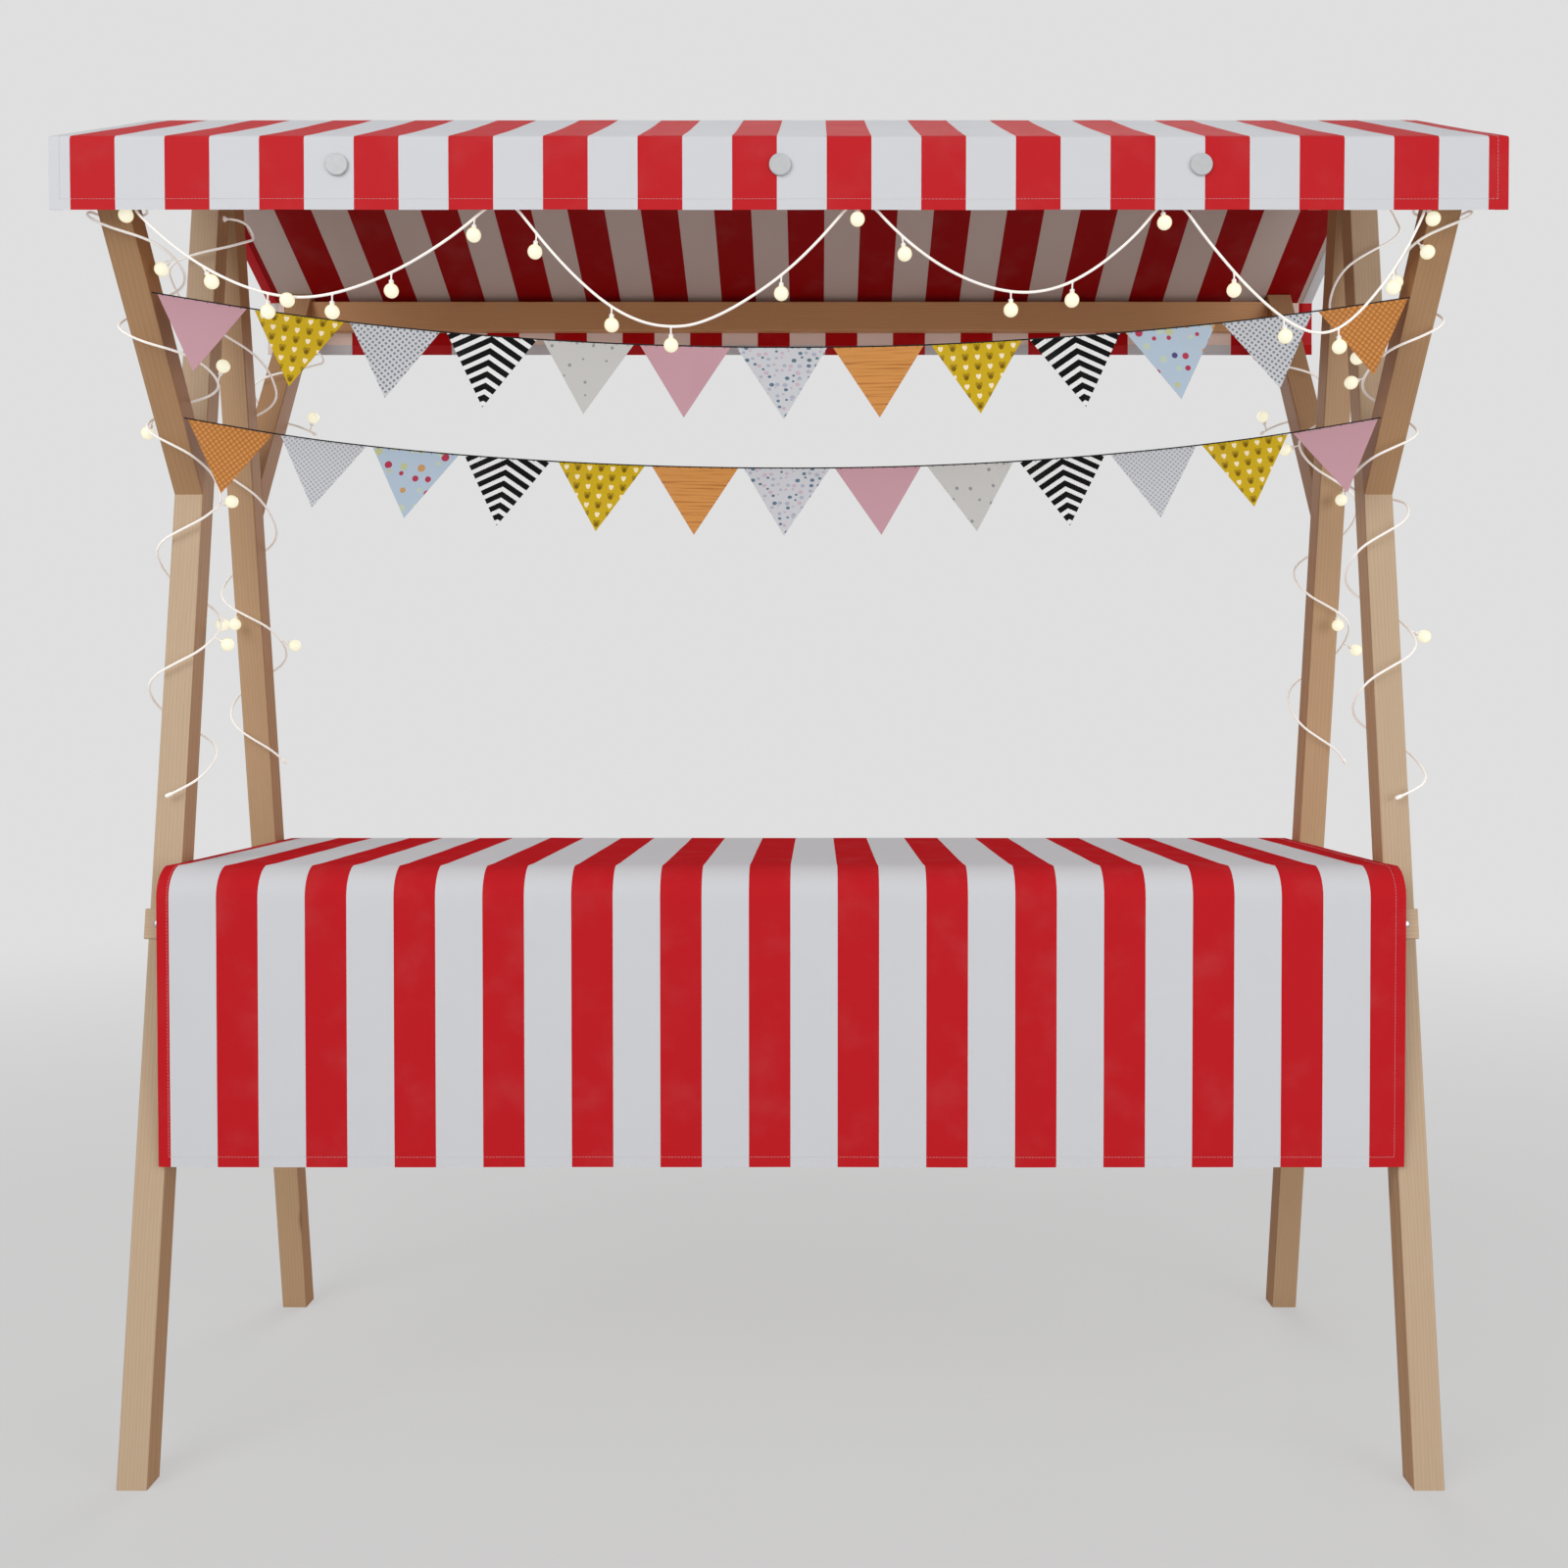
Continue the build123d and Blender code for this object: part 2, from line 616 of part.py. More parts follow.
save("upper_bunting_flags", flags_under(upper_route))
save("lower_bunting_flags", flags_under(lower_route))
cord_tube("festoon_light_cord", festoon_route(), light_cord)
save("festoon_lamps", lamps_at_places(festoon_route(), festoon_lamps))
save("eaves_hooks", eaves_hooks())
for name, middle_x, stops, last_points, lamps in wound_cords:
    route = wound_route(middle_x, stops, last_points)
    cord_tube(name + "_light_cord", route, light_cord)
    save(name + "_lamps", lamps_on_runs(route, lamps))
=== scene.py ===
"""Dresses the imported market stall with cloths, cords, lamps, flags, fittings and finishes.

Metres, +Z up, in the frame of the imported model: the customers' side faces -Y and X runs
along the counter.
"""

import itertools
import math
import random

import bmesh
import bpy
from mathutils import Matrix, Vector, noise


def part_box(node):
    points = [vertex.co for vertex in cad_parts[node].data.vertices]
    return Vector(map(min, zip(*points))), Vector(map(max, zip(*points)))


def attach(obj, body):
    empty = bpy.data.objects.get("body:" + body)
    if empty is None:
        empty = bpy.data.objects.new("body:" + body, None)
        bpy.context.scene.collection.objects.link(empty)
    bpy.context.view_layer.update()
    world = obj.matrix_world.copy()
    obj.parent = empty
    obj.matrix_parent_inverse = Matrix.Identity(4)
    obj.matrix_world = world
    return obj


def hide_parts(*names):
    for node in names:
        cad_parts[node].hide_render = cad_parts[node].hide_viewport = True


bl_info = {
    "name": "Market Stall Dressing",
    "version": (1, 0, 0),
    "blender": (4, 5, 0),
    "location": "View3D > Sidebar > Stall",
    "description": "Cloths, cords, lamps, flags, fittings and finishes of a wooden market stall",
    "category": "Object",
}

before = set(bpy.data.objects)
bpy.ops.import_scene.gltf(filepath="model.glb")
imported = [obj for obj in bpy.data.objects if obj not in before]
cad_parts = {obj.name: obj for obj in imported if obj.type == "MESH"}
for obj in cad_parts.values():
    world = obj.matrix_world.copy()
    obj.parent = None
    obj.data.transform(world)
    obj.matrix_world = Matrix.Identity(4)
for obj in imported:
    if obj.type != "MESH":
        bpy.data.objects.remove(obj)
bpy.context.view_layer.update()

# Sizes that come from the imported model
roof_low, roof_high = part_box("roof_cloth")
counter_low, counter_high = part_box("counter_cloth")
post_low, post_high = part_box("front_left_post")
arm_low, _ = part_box("front_left_arm")
rail_low, rail_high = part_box("front_eaves_rail")
table_low, table_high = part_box("front_table_rail")
timber = post_high.x - post_low.x
side_x = (post_high.x + post_low.x) / -2
inner_x = -post_high.x
foot_y = -post_low.y
eaves_rail_y = (rail_low.y + rail_high.y) / 2

# Side frames
lean = math.radians(9.3)
arm_joint_height = 1.442
arm_nose_height = 1.8476
joint_y = -foot_y + arm_joint_height * math.tan(lean)
splay = math.atan2(joint_y - arm_low.y, arm_nose_height - arm_joint_height)
post_standoff = 0.036
arm_standoff = 0.044
staple_reach = timber / 2 + 0.0003

# Roof and counter cloths, seen from the side
eave_y = roof_high.y
eave_height = 1.885
ridge_y = 0.088
ridge_height = roof_high.z
roof_slope = math.hypot(eave_y - ridge_y, ridge_height - eave_height)
rear_eave = ridge_y + roof_slope
eave_fold = 0.008
ridge_fold = 0.024
counter_y = counter_high.y
counter_top = counter_high.z
counter_fold = 0.045
between_posts = 0.897
post_notch_y = -0.2577
rear_hem_height = 0.758
column_spacing = 0.016
cloth_angle = 60.0
thread_radius = 0.0002
millimetre = 0.001

# Twine routes, seen from the front: one point between each two flags
upper_twine_y = -0.314
lower_twine_y = -0.202
upper_twine = [
    (-0.8987, 1.704), (-0.755, 1.68), (-0.621, 1.662), (-0.482, 1.6474), (-0.344, 1.6368),
    (-0.206, 1.6298), (-0.067, 1.6262), (0.07, 1.626), (0.209, 1.629), (0.351, 1.637),
    (0.49, 1.647), (0.625, 1.66), (0.766, 1.677), (0.8987, 1.697),
]
lower_twine = [
    (-0.8987, 1.547), (-0.761, 1.522), (-0.619, 1.504), (-0.484, 1.4913), (-0.343, 1.4815),
    (-0.201, 1.475), (-0.062, 1.472), (0.075, 1.4718), (0.212, 1.475), (0.352, 1.4816),
    (0.488, 1.492), (0.627, 1.506), (0.763, 1.5237), (0.8987, 1.5474),
]

# The festoon hangs in the plane of the eaves rail, over three hooks, and turns back at both ends
festoon_swags = [
    (-0.881, 1.791), (-0.864, 1.773), (-0.839, 1.75), (-0.808, 1.726), (-0.772, 1.704),
    (-0.733, 1.686), (-0.692, 1.674), (-0.65, 1.67), (-0.608, 1.676), (-0.563, 1.69),
    (-0.516, 1.711), (-0.47, 1.738), (-0.429, 1.767), (-0.393, 1.799), (-0.364, 1.799),
    (-0.341, 1.77), (-0.311, 1.733), (-0.277, 1.697), (-0.239, 1.664), (-0.203, 1.643),
    (-0.168, 1.632), (-0.128, 1.631), (-0.095, 1.641), (-0.062, 1.657), (-0.022, 1.682),
    (0.017, 1.712), (0.053, 1.747), (0.077, 1.774), (0.098, 1.799), (0.125, 1.799), (0.15, 1.771),
    (0.183, 1.741), (0.222, 1.713), (0.264, 1.692), (0.308, 1.679), (0.35, 1.677), (0.391, 1.687),
    (0.431, 1.709), (0.468, 1.738), (0.497, 1.766), (0.522, 1.799), (0.549, 1.799), (0.575, 1.762),
    (0.605, 1.725), (0.637, 1.689), (0.672, 1.656), (0.704, 1.633), (0.731, 1.622), (0.758, 1.624),
    (0.785, 1.642), (0.811, 1.67), (0.837, 1.704), (0.858, 1.738), (0.873, 1.768), (0.883, 1.791),
]
festoon_left_end = [(-0.8879, -0.3707, 1.812), (-0.8847, -0.396, 1.8135)]
festoon_right_end = [(0.8847, -0.396, 1.8135), (0.8879, -0.3707, 1.812)]

# Lamps of the festoon: place along X, and the way that the lamp points
down = (0, 0, -1)
festoon_lamps = [
    (-0.884, (-0.55, 0, -0.83)), (-0.788, (0.5, 0, -0.87)), (-0.699, down),
    (-0.66, (-0.2, -0.9, -0.4)), (-0.611, down), (-0.53, down), (-0.416, (0, -0.2, -1)),
    (-0.331, (-0.1, 0, -1)), (-0.229, down), (-0.148, (0, 0.1, -1)), (0.003, down),
    (0.107, (0, -0.3, -0.95)), (0.168, (0.15, 0, -1)), (0.317, down), (0.401, (0, 0.15, -1)),
    (0.523, (0.1, -0.2, -1)), (0.622, down), (0.69, (0.1, 0, -1)), (0.765, (0.1, 0.1, -1)),
    (0.84, down), (0.8838, (0.5, 0, -0.87)),
]


def front_arm_middle(z):
    """Where the middle of a front arm lies at a height."""
    return joint_y - (z - arm_joint_height) * math.tan(splay) + timber / 2 / math.cos(splay)


def front_post_middle(z):
    """Where the middle of a front post lies at a height."""
    return -foot_y + z * math.tan(lean) + timber / 2 / math.cos(lean)


front_arms = (front_arm_middle, arm_standoff)
front_posts = (front_post_middle, post_standoff)
rear_arms = (lambda z: -front_arm_middle(z), arm_standoff)
rear_posts = (lambda z: -front_post_middle(z), post_standoff)
in_front, between, behind = -1, 0, 1

# Wound cords, stop by stop down the sides of the timbers: how far to the side of the
# timber's middle, the height, the timber, and on which side the cord crosses to the next
# stop. Without a side it runs on along the same face.
front_left_stops = [
    (0.033, 1.812, front_arms, behind), (-0.042, 1.803, front_arms, in_front),
    (0.066, 1.742, front_arms, behind), (-0.041, 1.673, front_arms, in_front),
    (0.077, 1.605, front_arms, behind), (-0.04, 1.546, front_arms, in_front),
    (0.038, 1.471, front_arms, None), (0.045, 1.434, front_posts, in_front),
    (-0.049, 1.339, front_posts, behind), (0.05, 1.229, front_posts, in_front),
    (-0.049, 1.129, front_posts, behind), (0.054, 1.03, front_posts, in_front),
    (-0.049, 0.93, front_posts, None),
]
front_right_stops = [
    (-0.033, 1.812, front_arms, behind), (0.042, 1.804, front_arms, in_front),
    (-0.042, 1.745, front_arms, behind), (0.039, 1.679, front_arms, in_front),
    (-0.052, 1.611, front_arms, behind), (0.041, 1.537, front_arms, in_front),
    (-0.039, 1.471, front_arms, behind), (0.051, 1.431, front_posts, in_front),
    (-0.048, 1.327, front_posts, behind), (0.051, 1.224, front_posts, in_front),
    (-0.046, 1.123, front_posts, behind), (0.055, 1.018, front_posts, in_front),
    (-0.046, 0.936, front_posts, None),
]
rear_left_stops = [
    (staple_reach, 1.896, front_posts, None), (0.055, 1.896, front_posts, None),
    (0.075, 1.862, front_posts, in_front), (-0.057, 1.794, front_posts, between),
    (0.063, 1.655, rear_posts, behind), (-0.048, 1.555, rear_posts, in_front),
    (0.048, 1.43, rear_posts, behind), (-0.048, 1.321, rear_posts, in_front),
    (0.052, 1.221, rear_posts, behind), (-0.046, 1.118, rear_posts, in_front),
    (0.052, 1.0, rear_posts, None),
]
rear_right_stops = [
    (staple_reach, 1.922, front_posts, None), (0.048, 1.922, front_posts, None),
    (0.062, 1.888, front_posts, in_front), (-0.051, 1.771, front_posts, between),
    (0.048, 1.66, rear_posts, behind), (-0.053, 1.55, rear_posts, in_front),
    (0.048, 1.436, rear_posts, behind), (-0.05, 1.336, rear_posts, in_front),
    (0.047, 1.236, rear_posts, behind), (-0.048, 1.12, rear_posts, in_front),
    (0.053, 1.0, rear_posts, None),
]
rear_left_arm_stops = [
    (staple_reach, 1.775, rear_arms, None), (0.052, 1.775, rear_arms, None),
    (0.07, 1.748, rear_arms, in_front), (-0.043, 1.677, rear_arms, behind),
    (0.08, 1.59, rear_arms, None),
]
rear_right_arm_stops = [
    (-staple_reach, 1.785, rear_arms, None), (-0.052, 1.785, rear_arms, None),
    (-0.07, 1.758, rear_arms, in_front), (0.043, 1.686, rear_arms, behind),
    (-0.08, 1.59, rear_arms, None),
]

# Points of one crossing: share of the way down, share of the side reach and of the standoff
crossing_shares = [
    (1 / 6, 0.92, 0.62), (2 / 6, 0.62, 0.92), (3 / 6, 0.0, 1.0), (4 / 6, 0.62, 0.92),
    (5 / 6, 0.92, 0.62),
]

# Lamps of the wound cords: number of the run and the way that the lamp points
front_left_lamps = [
    (11, (-0.75, 0.2, -0.6)), (24, (0.3, -0.1, 0.7)), (29, (-0.4, 0.35, -0.6)),
    (37, (0.9, -0.3, 0.2)), (47, (-0.12, 0.8, -0.5)), (49, (0.9, -0.2, -0.5)),
]
front_right_lamps = [
    (10, (0.35, -0.55, -0.7)), (12, (-0.1, -0.45, -0.8)), (23, (-0.9, 0, 0.4)),
    (24, (-0.8, -0.3, -0.3)), (53, (0.9, -0.1, -0.4)),
]
rear_left_lamps = [(34, (0, -0.3, -1)), (37, (0.9, 0, -0.3))]
rear_right_lamps = [
    (19, (-0.9, 0, -0.3)), (23, (-0.3, -0.3, -0.9)), (35, (0, -0.3, -1)), (38, (0.9, 0, -0.5)),
]
rear_left_arm_lamps = [(12, (0.3, -0.2, 0.9))]
rear_right_arm_lamps = [(12, (-0.3, -0.2, 0.9))]

# Each wound cord: the middle of its timbers, its stops, how many points of its last
# crossing it has, its lamps, and whether it leaves the end of the festoon
wound_cords = [
    ("front_left", -side_x, front_left_stops, 3, front_left_lamps, True),
    ("front_right", side_x, front_right_stops, 3, front_right_lamps, True),
    ("rear_left", -side_x, rear_left_stops, 5, rear_left_lamps, False),
    ("rear_right", side_x, rear_right_stops, 5, rear_right_lamps, False),
    ("rear_left_arm", -side_x, rear_left_arm_stops, 5, rear_left_arm_lamps, False),
    ("rear_right_arm", side_x, rear_right_arm_stops, 5, rear_right_arm_lamps, False),
]

# The flags in order from the left
upper_flags = [
    "pink", "yellow", "lattice", "chevron", "speckled", "pink", "blossom", "orange", "yellow",
    "chevron", "confetti", "lattice", "honeycomb",
]
lower_flags = [
    "honeycomb", "netting", "confetti", "chevron", "yellow", "orange", "blossom", "pink",
    "speckled", "chevron", "netting", "yellow", "pink",
]
# How far the tip of each flag swings along its twine, in millimetres
upper_swings = [4, -2, -4, -7, -3.5, 0, 3, 0, 0.5, 9, 7, 7.5, 1.5]
lower_swings = [5, -4.5, -9.5, -9.5, -4.5, 0, -4.5, 3, 6, 4.7, 1.5, 2, 2]
# Each bunting: its name, its twine, its flags and their swings
buntings = [
    ("upper", upper_twine, upper_twine_y, upper_flags, upper_swings),
    ("lower", lower_twine, lower_twine_y, lower_flags, lower_swings),
]

# The timber in order: its pieces, the turn that brings their length to Z, and their tint. The
# tints darken and warm the rear posts, arms, eaves rails, ridge rails and ridge plates: painted
# shade with a painted warm cast. Untinted pieces keep the timber's own colour.
quarter = math.pi / 2
untinted = (1.0, 1.0, 1.0)
# The arms' tint is painted shade with a painted warm cast.
arm_painted_shade = (0.79, 0.63, 0.48)
timber_kinds = [
    ("front_left_post front_right_post", (lean, 0, 0), untinted),
    ("rear_left_post rear_right_post", (-lean, 0, 0), (0.92, 0.81, 0.7)),
    ("front_left_arm front_right_arm", (-splay, 0, 0), arm_painted_shade),
    ("rear_left_arm rear_right_arm", (splay, 0, 0), arm_painted_shade),
    ("front_eaves_rail rear_eaves_rail", (0, -quarter, 0), (1.08, 0.8, 0.55)),
    ("front_ridge_rail rear_ridge_rail", (0, -quarter, 0), (0.96, 0.76, 0.58)),
    ("left_ridge_plate right_ridge_plate", (quarter, 0, 0), (0.92, 0.74, 0.58)),
    ("front_table_rail rear_table_rail", (0, -quarter, 0), untinted),
    ("front_edge_board rear_edge_board", (0, -quarter, 0), untinted),
    ("left_table_bearer middle_table_bearer right_table_bearer", (quarter, 0, 0), untinted),
    ("counter_planks", (0, -quarter, 0), untinted),
]

# Outlines of the light cord's fittings: radii of the cord, and heights in millimetres
joint_outline = [
    (0, -9.5), (1.12, -9.5), (1.3, -9), (1.75, -6), (1.75, -1), (1.5, -0.5), (1.5, 0.5),
    (1.75, 1), (1.75, 6), (1.3, 9), (1.12, 9.5), (0, 9.5),
]
cap_outline = [(0, -8), (1.15, -8), (1.5, -6.5), (1.6, -3), (1.6, 1), (1.2, 3), (0, 3.4)]
clip_outline = [(0, -0.2), (2.4, -0.2), (2.4, 1.4), (1.7, 2.6), (1.35, 4.6), (0, 4.6)]

# Outlines of the steel fittings: radii and heights in millimetres
nut_outline = [
    (0, -0.4), (9, -0.4), (9, 1.2), (5.8, 1.2), (5.8, 5.6), (5, 6.2), (2.4, 6.2), (2.4, 8.5),
    (0, 8.5),
]
screw_outline = [
    (0, -0.4), (3.4, -0.4), (3.4, 0.3), (3.06, 0.6), (1.53, 0.6), (1.224, -0.2), (0, -0.2),
]
dome_angles = [quarter * n / 6 for n in range(1, 6)]
bolt_outline = [
    (0, -0.4), (6.2, -0.4), (6.2, 0.48),
    *((6.2 * math.cos(a), 3.2 * (0.15 + 0.85 * math.sin(a))) for a in dome_angles), (0, 3.2),
]

# Tone of the floor and the surround where they are looked at
backdrop_tone = 0.74


def linear(*values):
    """A colour of eight-bit values as the render engine wants it."""
    shares = [value / 255 for value in values]
    return [s / 12.92 if s < 0.04045 else ((s + 0.055) / 1.055) ** 2.4 for s in shares]


def length(label, description, default):
    """A size in metres that a user can change."""
    return bpy.props.FloatProperty(
        name=label, description=description, default=default, unit="LENGTH"
    )


def colour(label, description, *values):
    """A colour that a user can change, given in eight-bit values."""
    return bpy.props.FloatVectorProperty(
        name=label,
        description=description,
        default=linear(*values),
        subtype="COLOR",
        size=3,
        min=0.0,
        max=1.0,
    )


class StallSizes(bpy.types.PropertyGroup):
    """Sizes of the cloths, the bunting and the lamps."""

    roof_pitch: length("Roof stripes", "From one red stripe of the roof to the next", 0.1283)
    roof_red: length("Roof red", "Width of a red stripe of the roof", 0.0608)
    roof_front_start: length("Front stripes start", "Left edge of a red stripe in front", -0.9614)
    roof_rear_start: length("Rear stripes start", "Left edge of a red stripe there", -0.5136)
    roof_rear_red: length("Rear red", "Width of a red stripe of the rear slope", 0.065)
    rear_valance_start: length("Rear valance start", "Left edge of a red stripe there", -0.5743)
    counter_pitch: length("Counter stripes", "From one red stripe to the next", 0.12751)
    counter_red: length("Counter red", "Width of a red stripe of the counter", 0.0597)
    counter_start: length("Counter stripes start", "Left edge of a red stripe", -0.8116)
    cloth: length("Cloth", "Thickness of the coated cloth", 0.0007)
    hem: length("Hem", "Width of the folded hems", 0.018)
    stitch: length("Stitch", "Length of one stitch", 0.0032)
    stitch_pitch: length("Stitch pitch", "From one stitch to the next", 0.0048)
    twine: length("Twine", "Diameter of the bunting twine", 0.002)
    flag_width: length("Flag width", "Width of a flag along the twine", 0.129)
    flag_drop: length("Flag drop", "From the twine to a flag's tip", 0.101)
    flag_cloth: length("Flag cloth", "Thickness of a flag", 0.0006)
    light_cord: length("Light cord", "Diameter of the light cord", 0.0038)
    lamp_hang: length("Lamp hang", "From the cord's middle to the globe's middle", 0.025)
    lamp_globe: length("Globe", "Diameter of a lamp's globe", 0.020)
    lamp_lead: length("Lead", "Diameter of a lamp's lead", 0.0024)
    lamp_socket: length("Socket", "Diameter of a lamp's socket", 0.0064)
    lamp_socket_length: length("Socket length", "Length of a lamp's socket", 0.005)


class StallColours(bpy.types.PropertyGroup):
    """Colours of the finishes."""

    timber_light: colour("Timber light", "Early wood of the softwood frame", 205, 180, 151)
    timber_dark: colour("Timber dark", "Late wood of the softwood frame", 170, 139, 108)
    knot: colour("Knot", "Small knots of the timber", 128, 92, 62)
    red: colour("Red", "Red stripes of the cloths", 192, 34, 40)
    white: colour("White", "White stripes of the cloths", 210, 211, 215)
    # The back of the roof cloth is darker and warmer than its face: partly its plainer back,
    # partly painted shade under the roof with a painted warm cast.
    shaded_inner_red: colour("Inner red", "Red stripes of the back of the roof", 148, 6, 10)
    shaded_inner_white: colour("Inner white", "White stripes of the back of the roof", 196, 180, 172)
    thread: colour("Thread", "Sewing thread of the hems", 208, 196, 196)
    button: colour("Button", "Caps on the valances", 196, 198, 200)
    twine: colour("Twine", "Twine of the bunting", 14, 12, 12)
    light_cord: colour("Light cord", "Jacket of the light cord", 246, 242, 236)
    globe: colour("Globe", "Frosted globe of a lamp", 255, 252, 226)
    steel: colour("Steel", "Bolts, screws and hooks", 190, 192, 194)
    pink: colour("Pink", "Plain pink flags", 196, 152, 162)
    yellow: colour("Yellow", "Ground of the yellow flags", 201, 168, 30)
    yellow_mark: colour("Yellow mark", "Dark marks of the yellow flags", 96, 66, 10)
    cream: colour("Cream", "Pale marks of the yellow flags", 242, 226, 190)
    orange: colour("Orange", "Ground of the orange flags", 207, 143, 78)
    orange_line: colour("Orange line", "Lines of the orange flags", 168, 104, 52)
    pale: colour("Pale", "Ground of the white flags", 201, 202, 207)
    ivory: colour("Ivory", "Ground of the speckled flags", 196, 194, 191)
    grey: colour("Grey", "Marks of the grey and white flags", 122, 126, 132)
    black: colour("Black", "Black bands of the chevron flags", 10, 10, 12)
    sky: colour("Sky", "Ground of the light blue flags", 176, 192, 208)
    blue: colour("Blue", "Deep marks of the blossom flags", 96, 118, 136)
    rose: colour("Rose", "Pale marks of the blossom flags", 196, 176, 188)


def stall_sizes():
    """The sizes that the sidebar shows."""
    return bpy.context.scene.stall_sizes


def paint(name, tint=(1, 1, 1)):
    """One of the sidebar's colours with full opacity, multiplied by a tint."""
    chosen = getattr(bpy.context.scene.stall_colours, name)
    return (*(share * value for share, value in zip(tint, chosen)), 1.0)


# Nodes


def give(tree, inputs, values):
    """Links or sets inputs by their names or numbers."""
    for name, value in values.items():
        if isinstance(value, bpy.types.NodeSocket):
            tree.links.new(value, inputs[name])
        else:
            inputs[name].default_value = value


def put(tree, kind, takes=None, out=0, **settings):
    """Adds a node with its settings, feeds its inputs, and gives one of its outputs."""
    node = tree.nodes.new(kind)
    for name, value in settings.items():
        setattr(node, name, value)
    give(tree, node.inputs, takes or {})
    return node.outputs[out]


def calc(tree, operation, *values):
    """A Math node."""
    return put(tree, "ShaderNodeMath", dict(enumerate(values)), operation=operation)


def vector_calc(tree, operation, *values):
    """A Vector Math node."""
    return put(tree, "ShaderNodeVectorMath", dict(enumerate(values)), operation=operation)


def split(tree, vector, axis=0):
    """One part of a vector."""
    return put(tree, "ShaderNodeSeparateXYZ", {0: vector}, axis)


def object_place(tree):
    """The place on the piece, in its own metres."""
    return put(tree, "ShaderNodeTexCoord", out="Object")


def cloudy(tree, place, scale, detail, out=0):
    """Soft noise, as a value or, with out 1, as a colour."""
    takes = {"Vector": place, "Scale": scale, "Detail": detail}
    return put(tree, "ShaderNodeTexNoise", takes, out)


def blended(tree, share, first, second, how="MIX"):
    """A mix of two colours."""
    takes = {0: share, 6: first, 7: second}
    return put(tree, "ShaderNodeMix", takes, 2, data_type="RGBA", blend_type=how)


def stepped(tree, value, low, high):
    """A value as a soft step from nought at low to one at high."""
    takes = {"Value": value, "From Min": low, "From Max": high}
    return put(tree, "ShaderNodeMapRange", takes, interpolation_type="SMOOTHSTEP")


def shader_group(name, inputs, outputs):
    """An empty node group with named inputs and outputs, and its two ends."""
    group = bpy.data.node_groups.new(name, "ShaderNodeTree")
    for label in inputs.split():
        kind = "NodeSocketVector" if label == "Vector" else "NodeSocketFloat"
        group.interface.new_socket(name=label, in_out="INPUT", socket_type=kind)
    for label in outputs.split():
        group.interface.new_socket(name=label, in_out="OUTPUT", socket_type="NodeSocketFloat")
    ends = [group.nodes.new(kind) for kind in ("NodeGroupInput", "NodeGroupOutput")]
    return group, ends[0].outputs, ends[1].inputs


def timber_grain_group():
    """Growth rings that run along Z, fine streaks and a few small knots."""
    group, given, result = shader_group("Timber Grain", "Vector Seed", "Grain Knots Height")
    shift = put(group, "ShaderNodeCombineXYZ", {0: 0.043, 1: 0.037, 2: given["Seed"]})
    place = vector_calc(group, "ADD", given["Vector"], shift)
    slow = vector_calc(group, "MULTIPLY", place, (9.0, 9.0, 1.6))
    drift = vector_calc(group, "SUBTRACT", cloudy(group, slow, 1.0, 1.0, out=1), (0.5,) * 3)
    drift = vector_calc(group, "MULTIPLY", drift, (0.022, 0.022, 0.0))
    place = vector_calc(group, "ADD", place, drift)
    flat = vector_calc(group, "MULTIPLY", place, (1.0, 1.0, 0.012))
    takes = {"Vector": flat, "Scale": 62.0, "Distortion": 1.4, "Detail": 2.0, "Detail Scale": 30.0}
    kinds = {"wave_type": "RINGS", "rings_direction": "Z", "wave_profile": "SAW"}
    rings = put(group, "ShaderNodeTexWave", takes, out=1, **kinds)
    streaks = cloudy(group, vector_calc(group, "MULTIPLY", place, (420.0, 420.0, 9.0)), 1.0, 3.0)
    grain = calc(group, "MULTIPLY_ADD", rings, 0.55, calc(group, "MULTIPLY", streaks, 0.45))
    sparse = vector_calc(group, "MULTIPLY", place, (9.0, 9.0, 2.6))
    cells = put(group, "ShaderNodeTexVoronoi", {"Vector": sparse, "Scale": 1.0})
    knots = calc(group, "SUBTRACT", 1.0, stepped(group, cells, 0.02, 0.085))
    height = calc(group, "MULTIPLY_ADD", knots, 0.4, grain)
    give(group, result, {"Grain": grain, "Knots": knots, "Height": height})
    return group


def cloth_weave_group():
    """Crossing threads on a flat pattern in metres, and their slow unevenness."""
    group, given, result = shader_group("Cloth Weave", "Vector Threads", "Height Shade")
    turns = calc(group, "MULTIPLY", given["Threads"], 2 * math.pi)
    waves = []
    for axis in (0, 1):
        angle = calc(group, "MULTIPLY", split(group, given["Vector"], axis), turns)
        waves.append(calc(group, "ABSOLUTE", calc(group, "SINE", angle)))
    slow = cloudy(group, given["Vector"], 14.0, 4.0)
    give(group, result, {"Height": calc(group, "MAXIMUM", *waves), "Shade": slow})
    return group


def stripe_group():
    """One where a place lies on a stripe, and nought between the stripes."""
    group, given, result = shader_group("Stripes", "Across Start Pitch Width", "Mask")
    from_start = calc(group, "SUBTRACT", given["Across"], given["Start"])
    place = calc(group, "FLOORED_MODULO", from_start, given["Pitch"])
    give(group, result, {"Mask": calc(group, "LESS_THAN", place, given["Width"])})
    return group


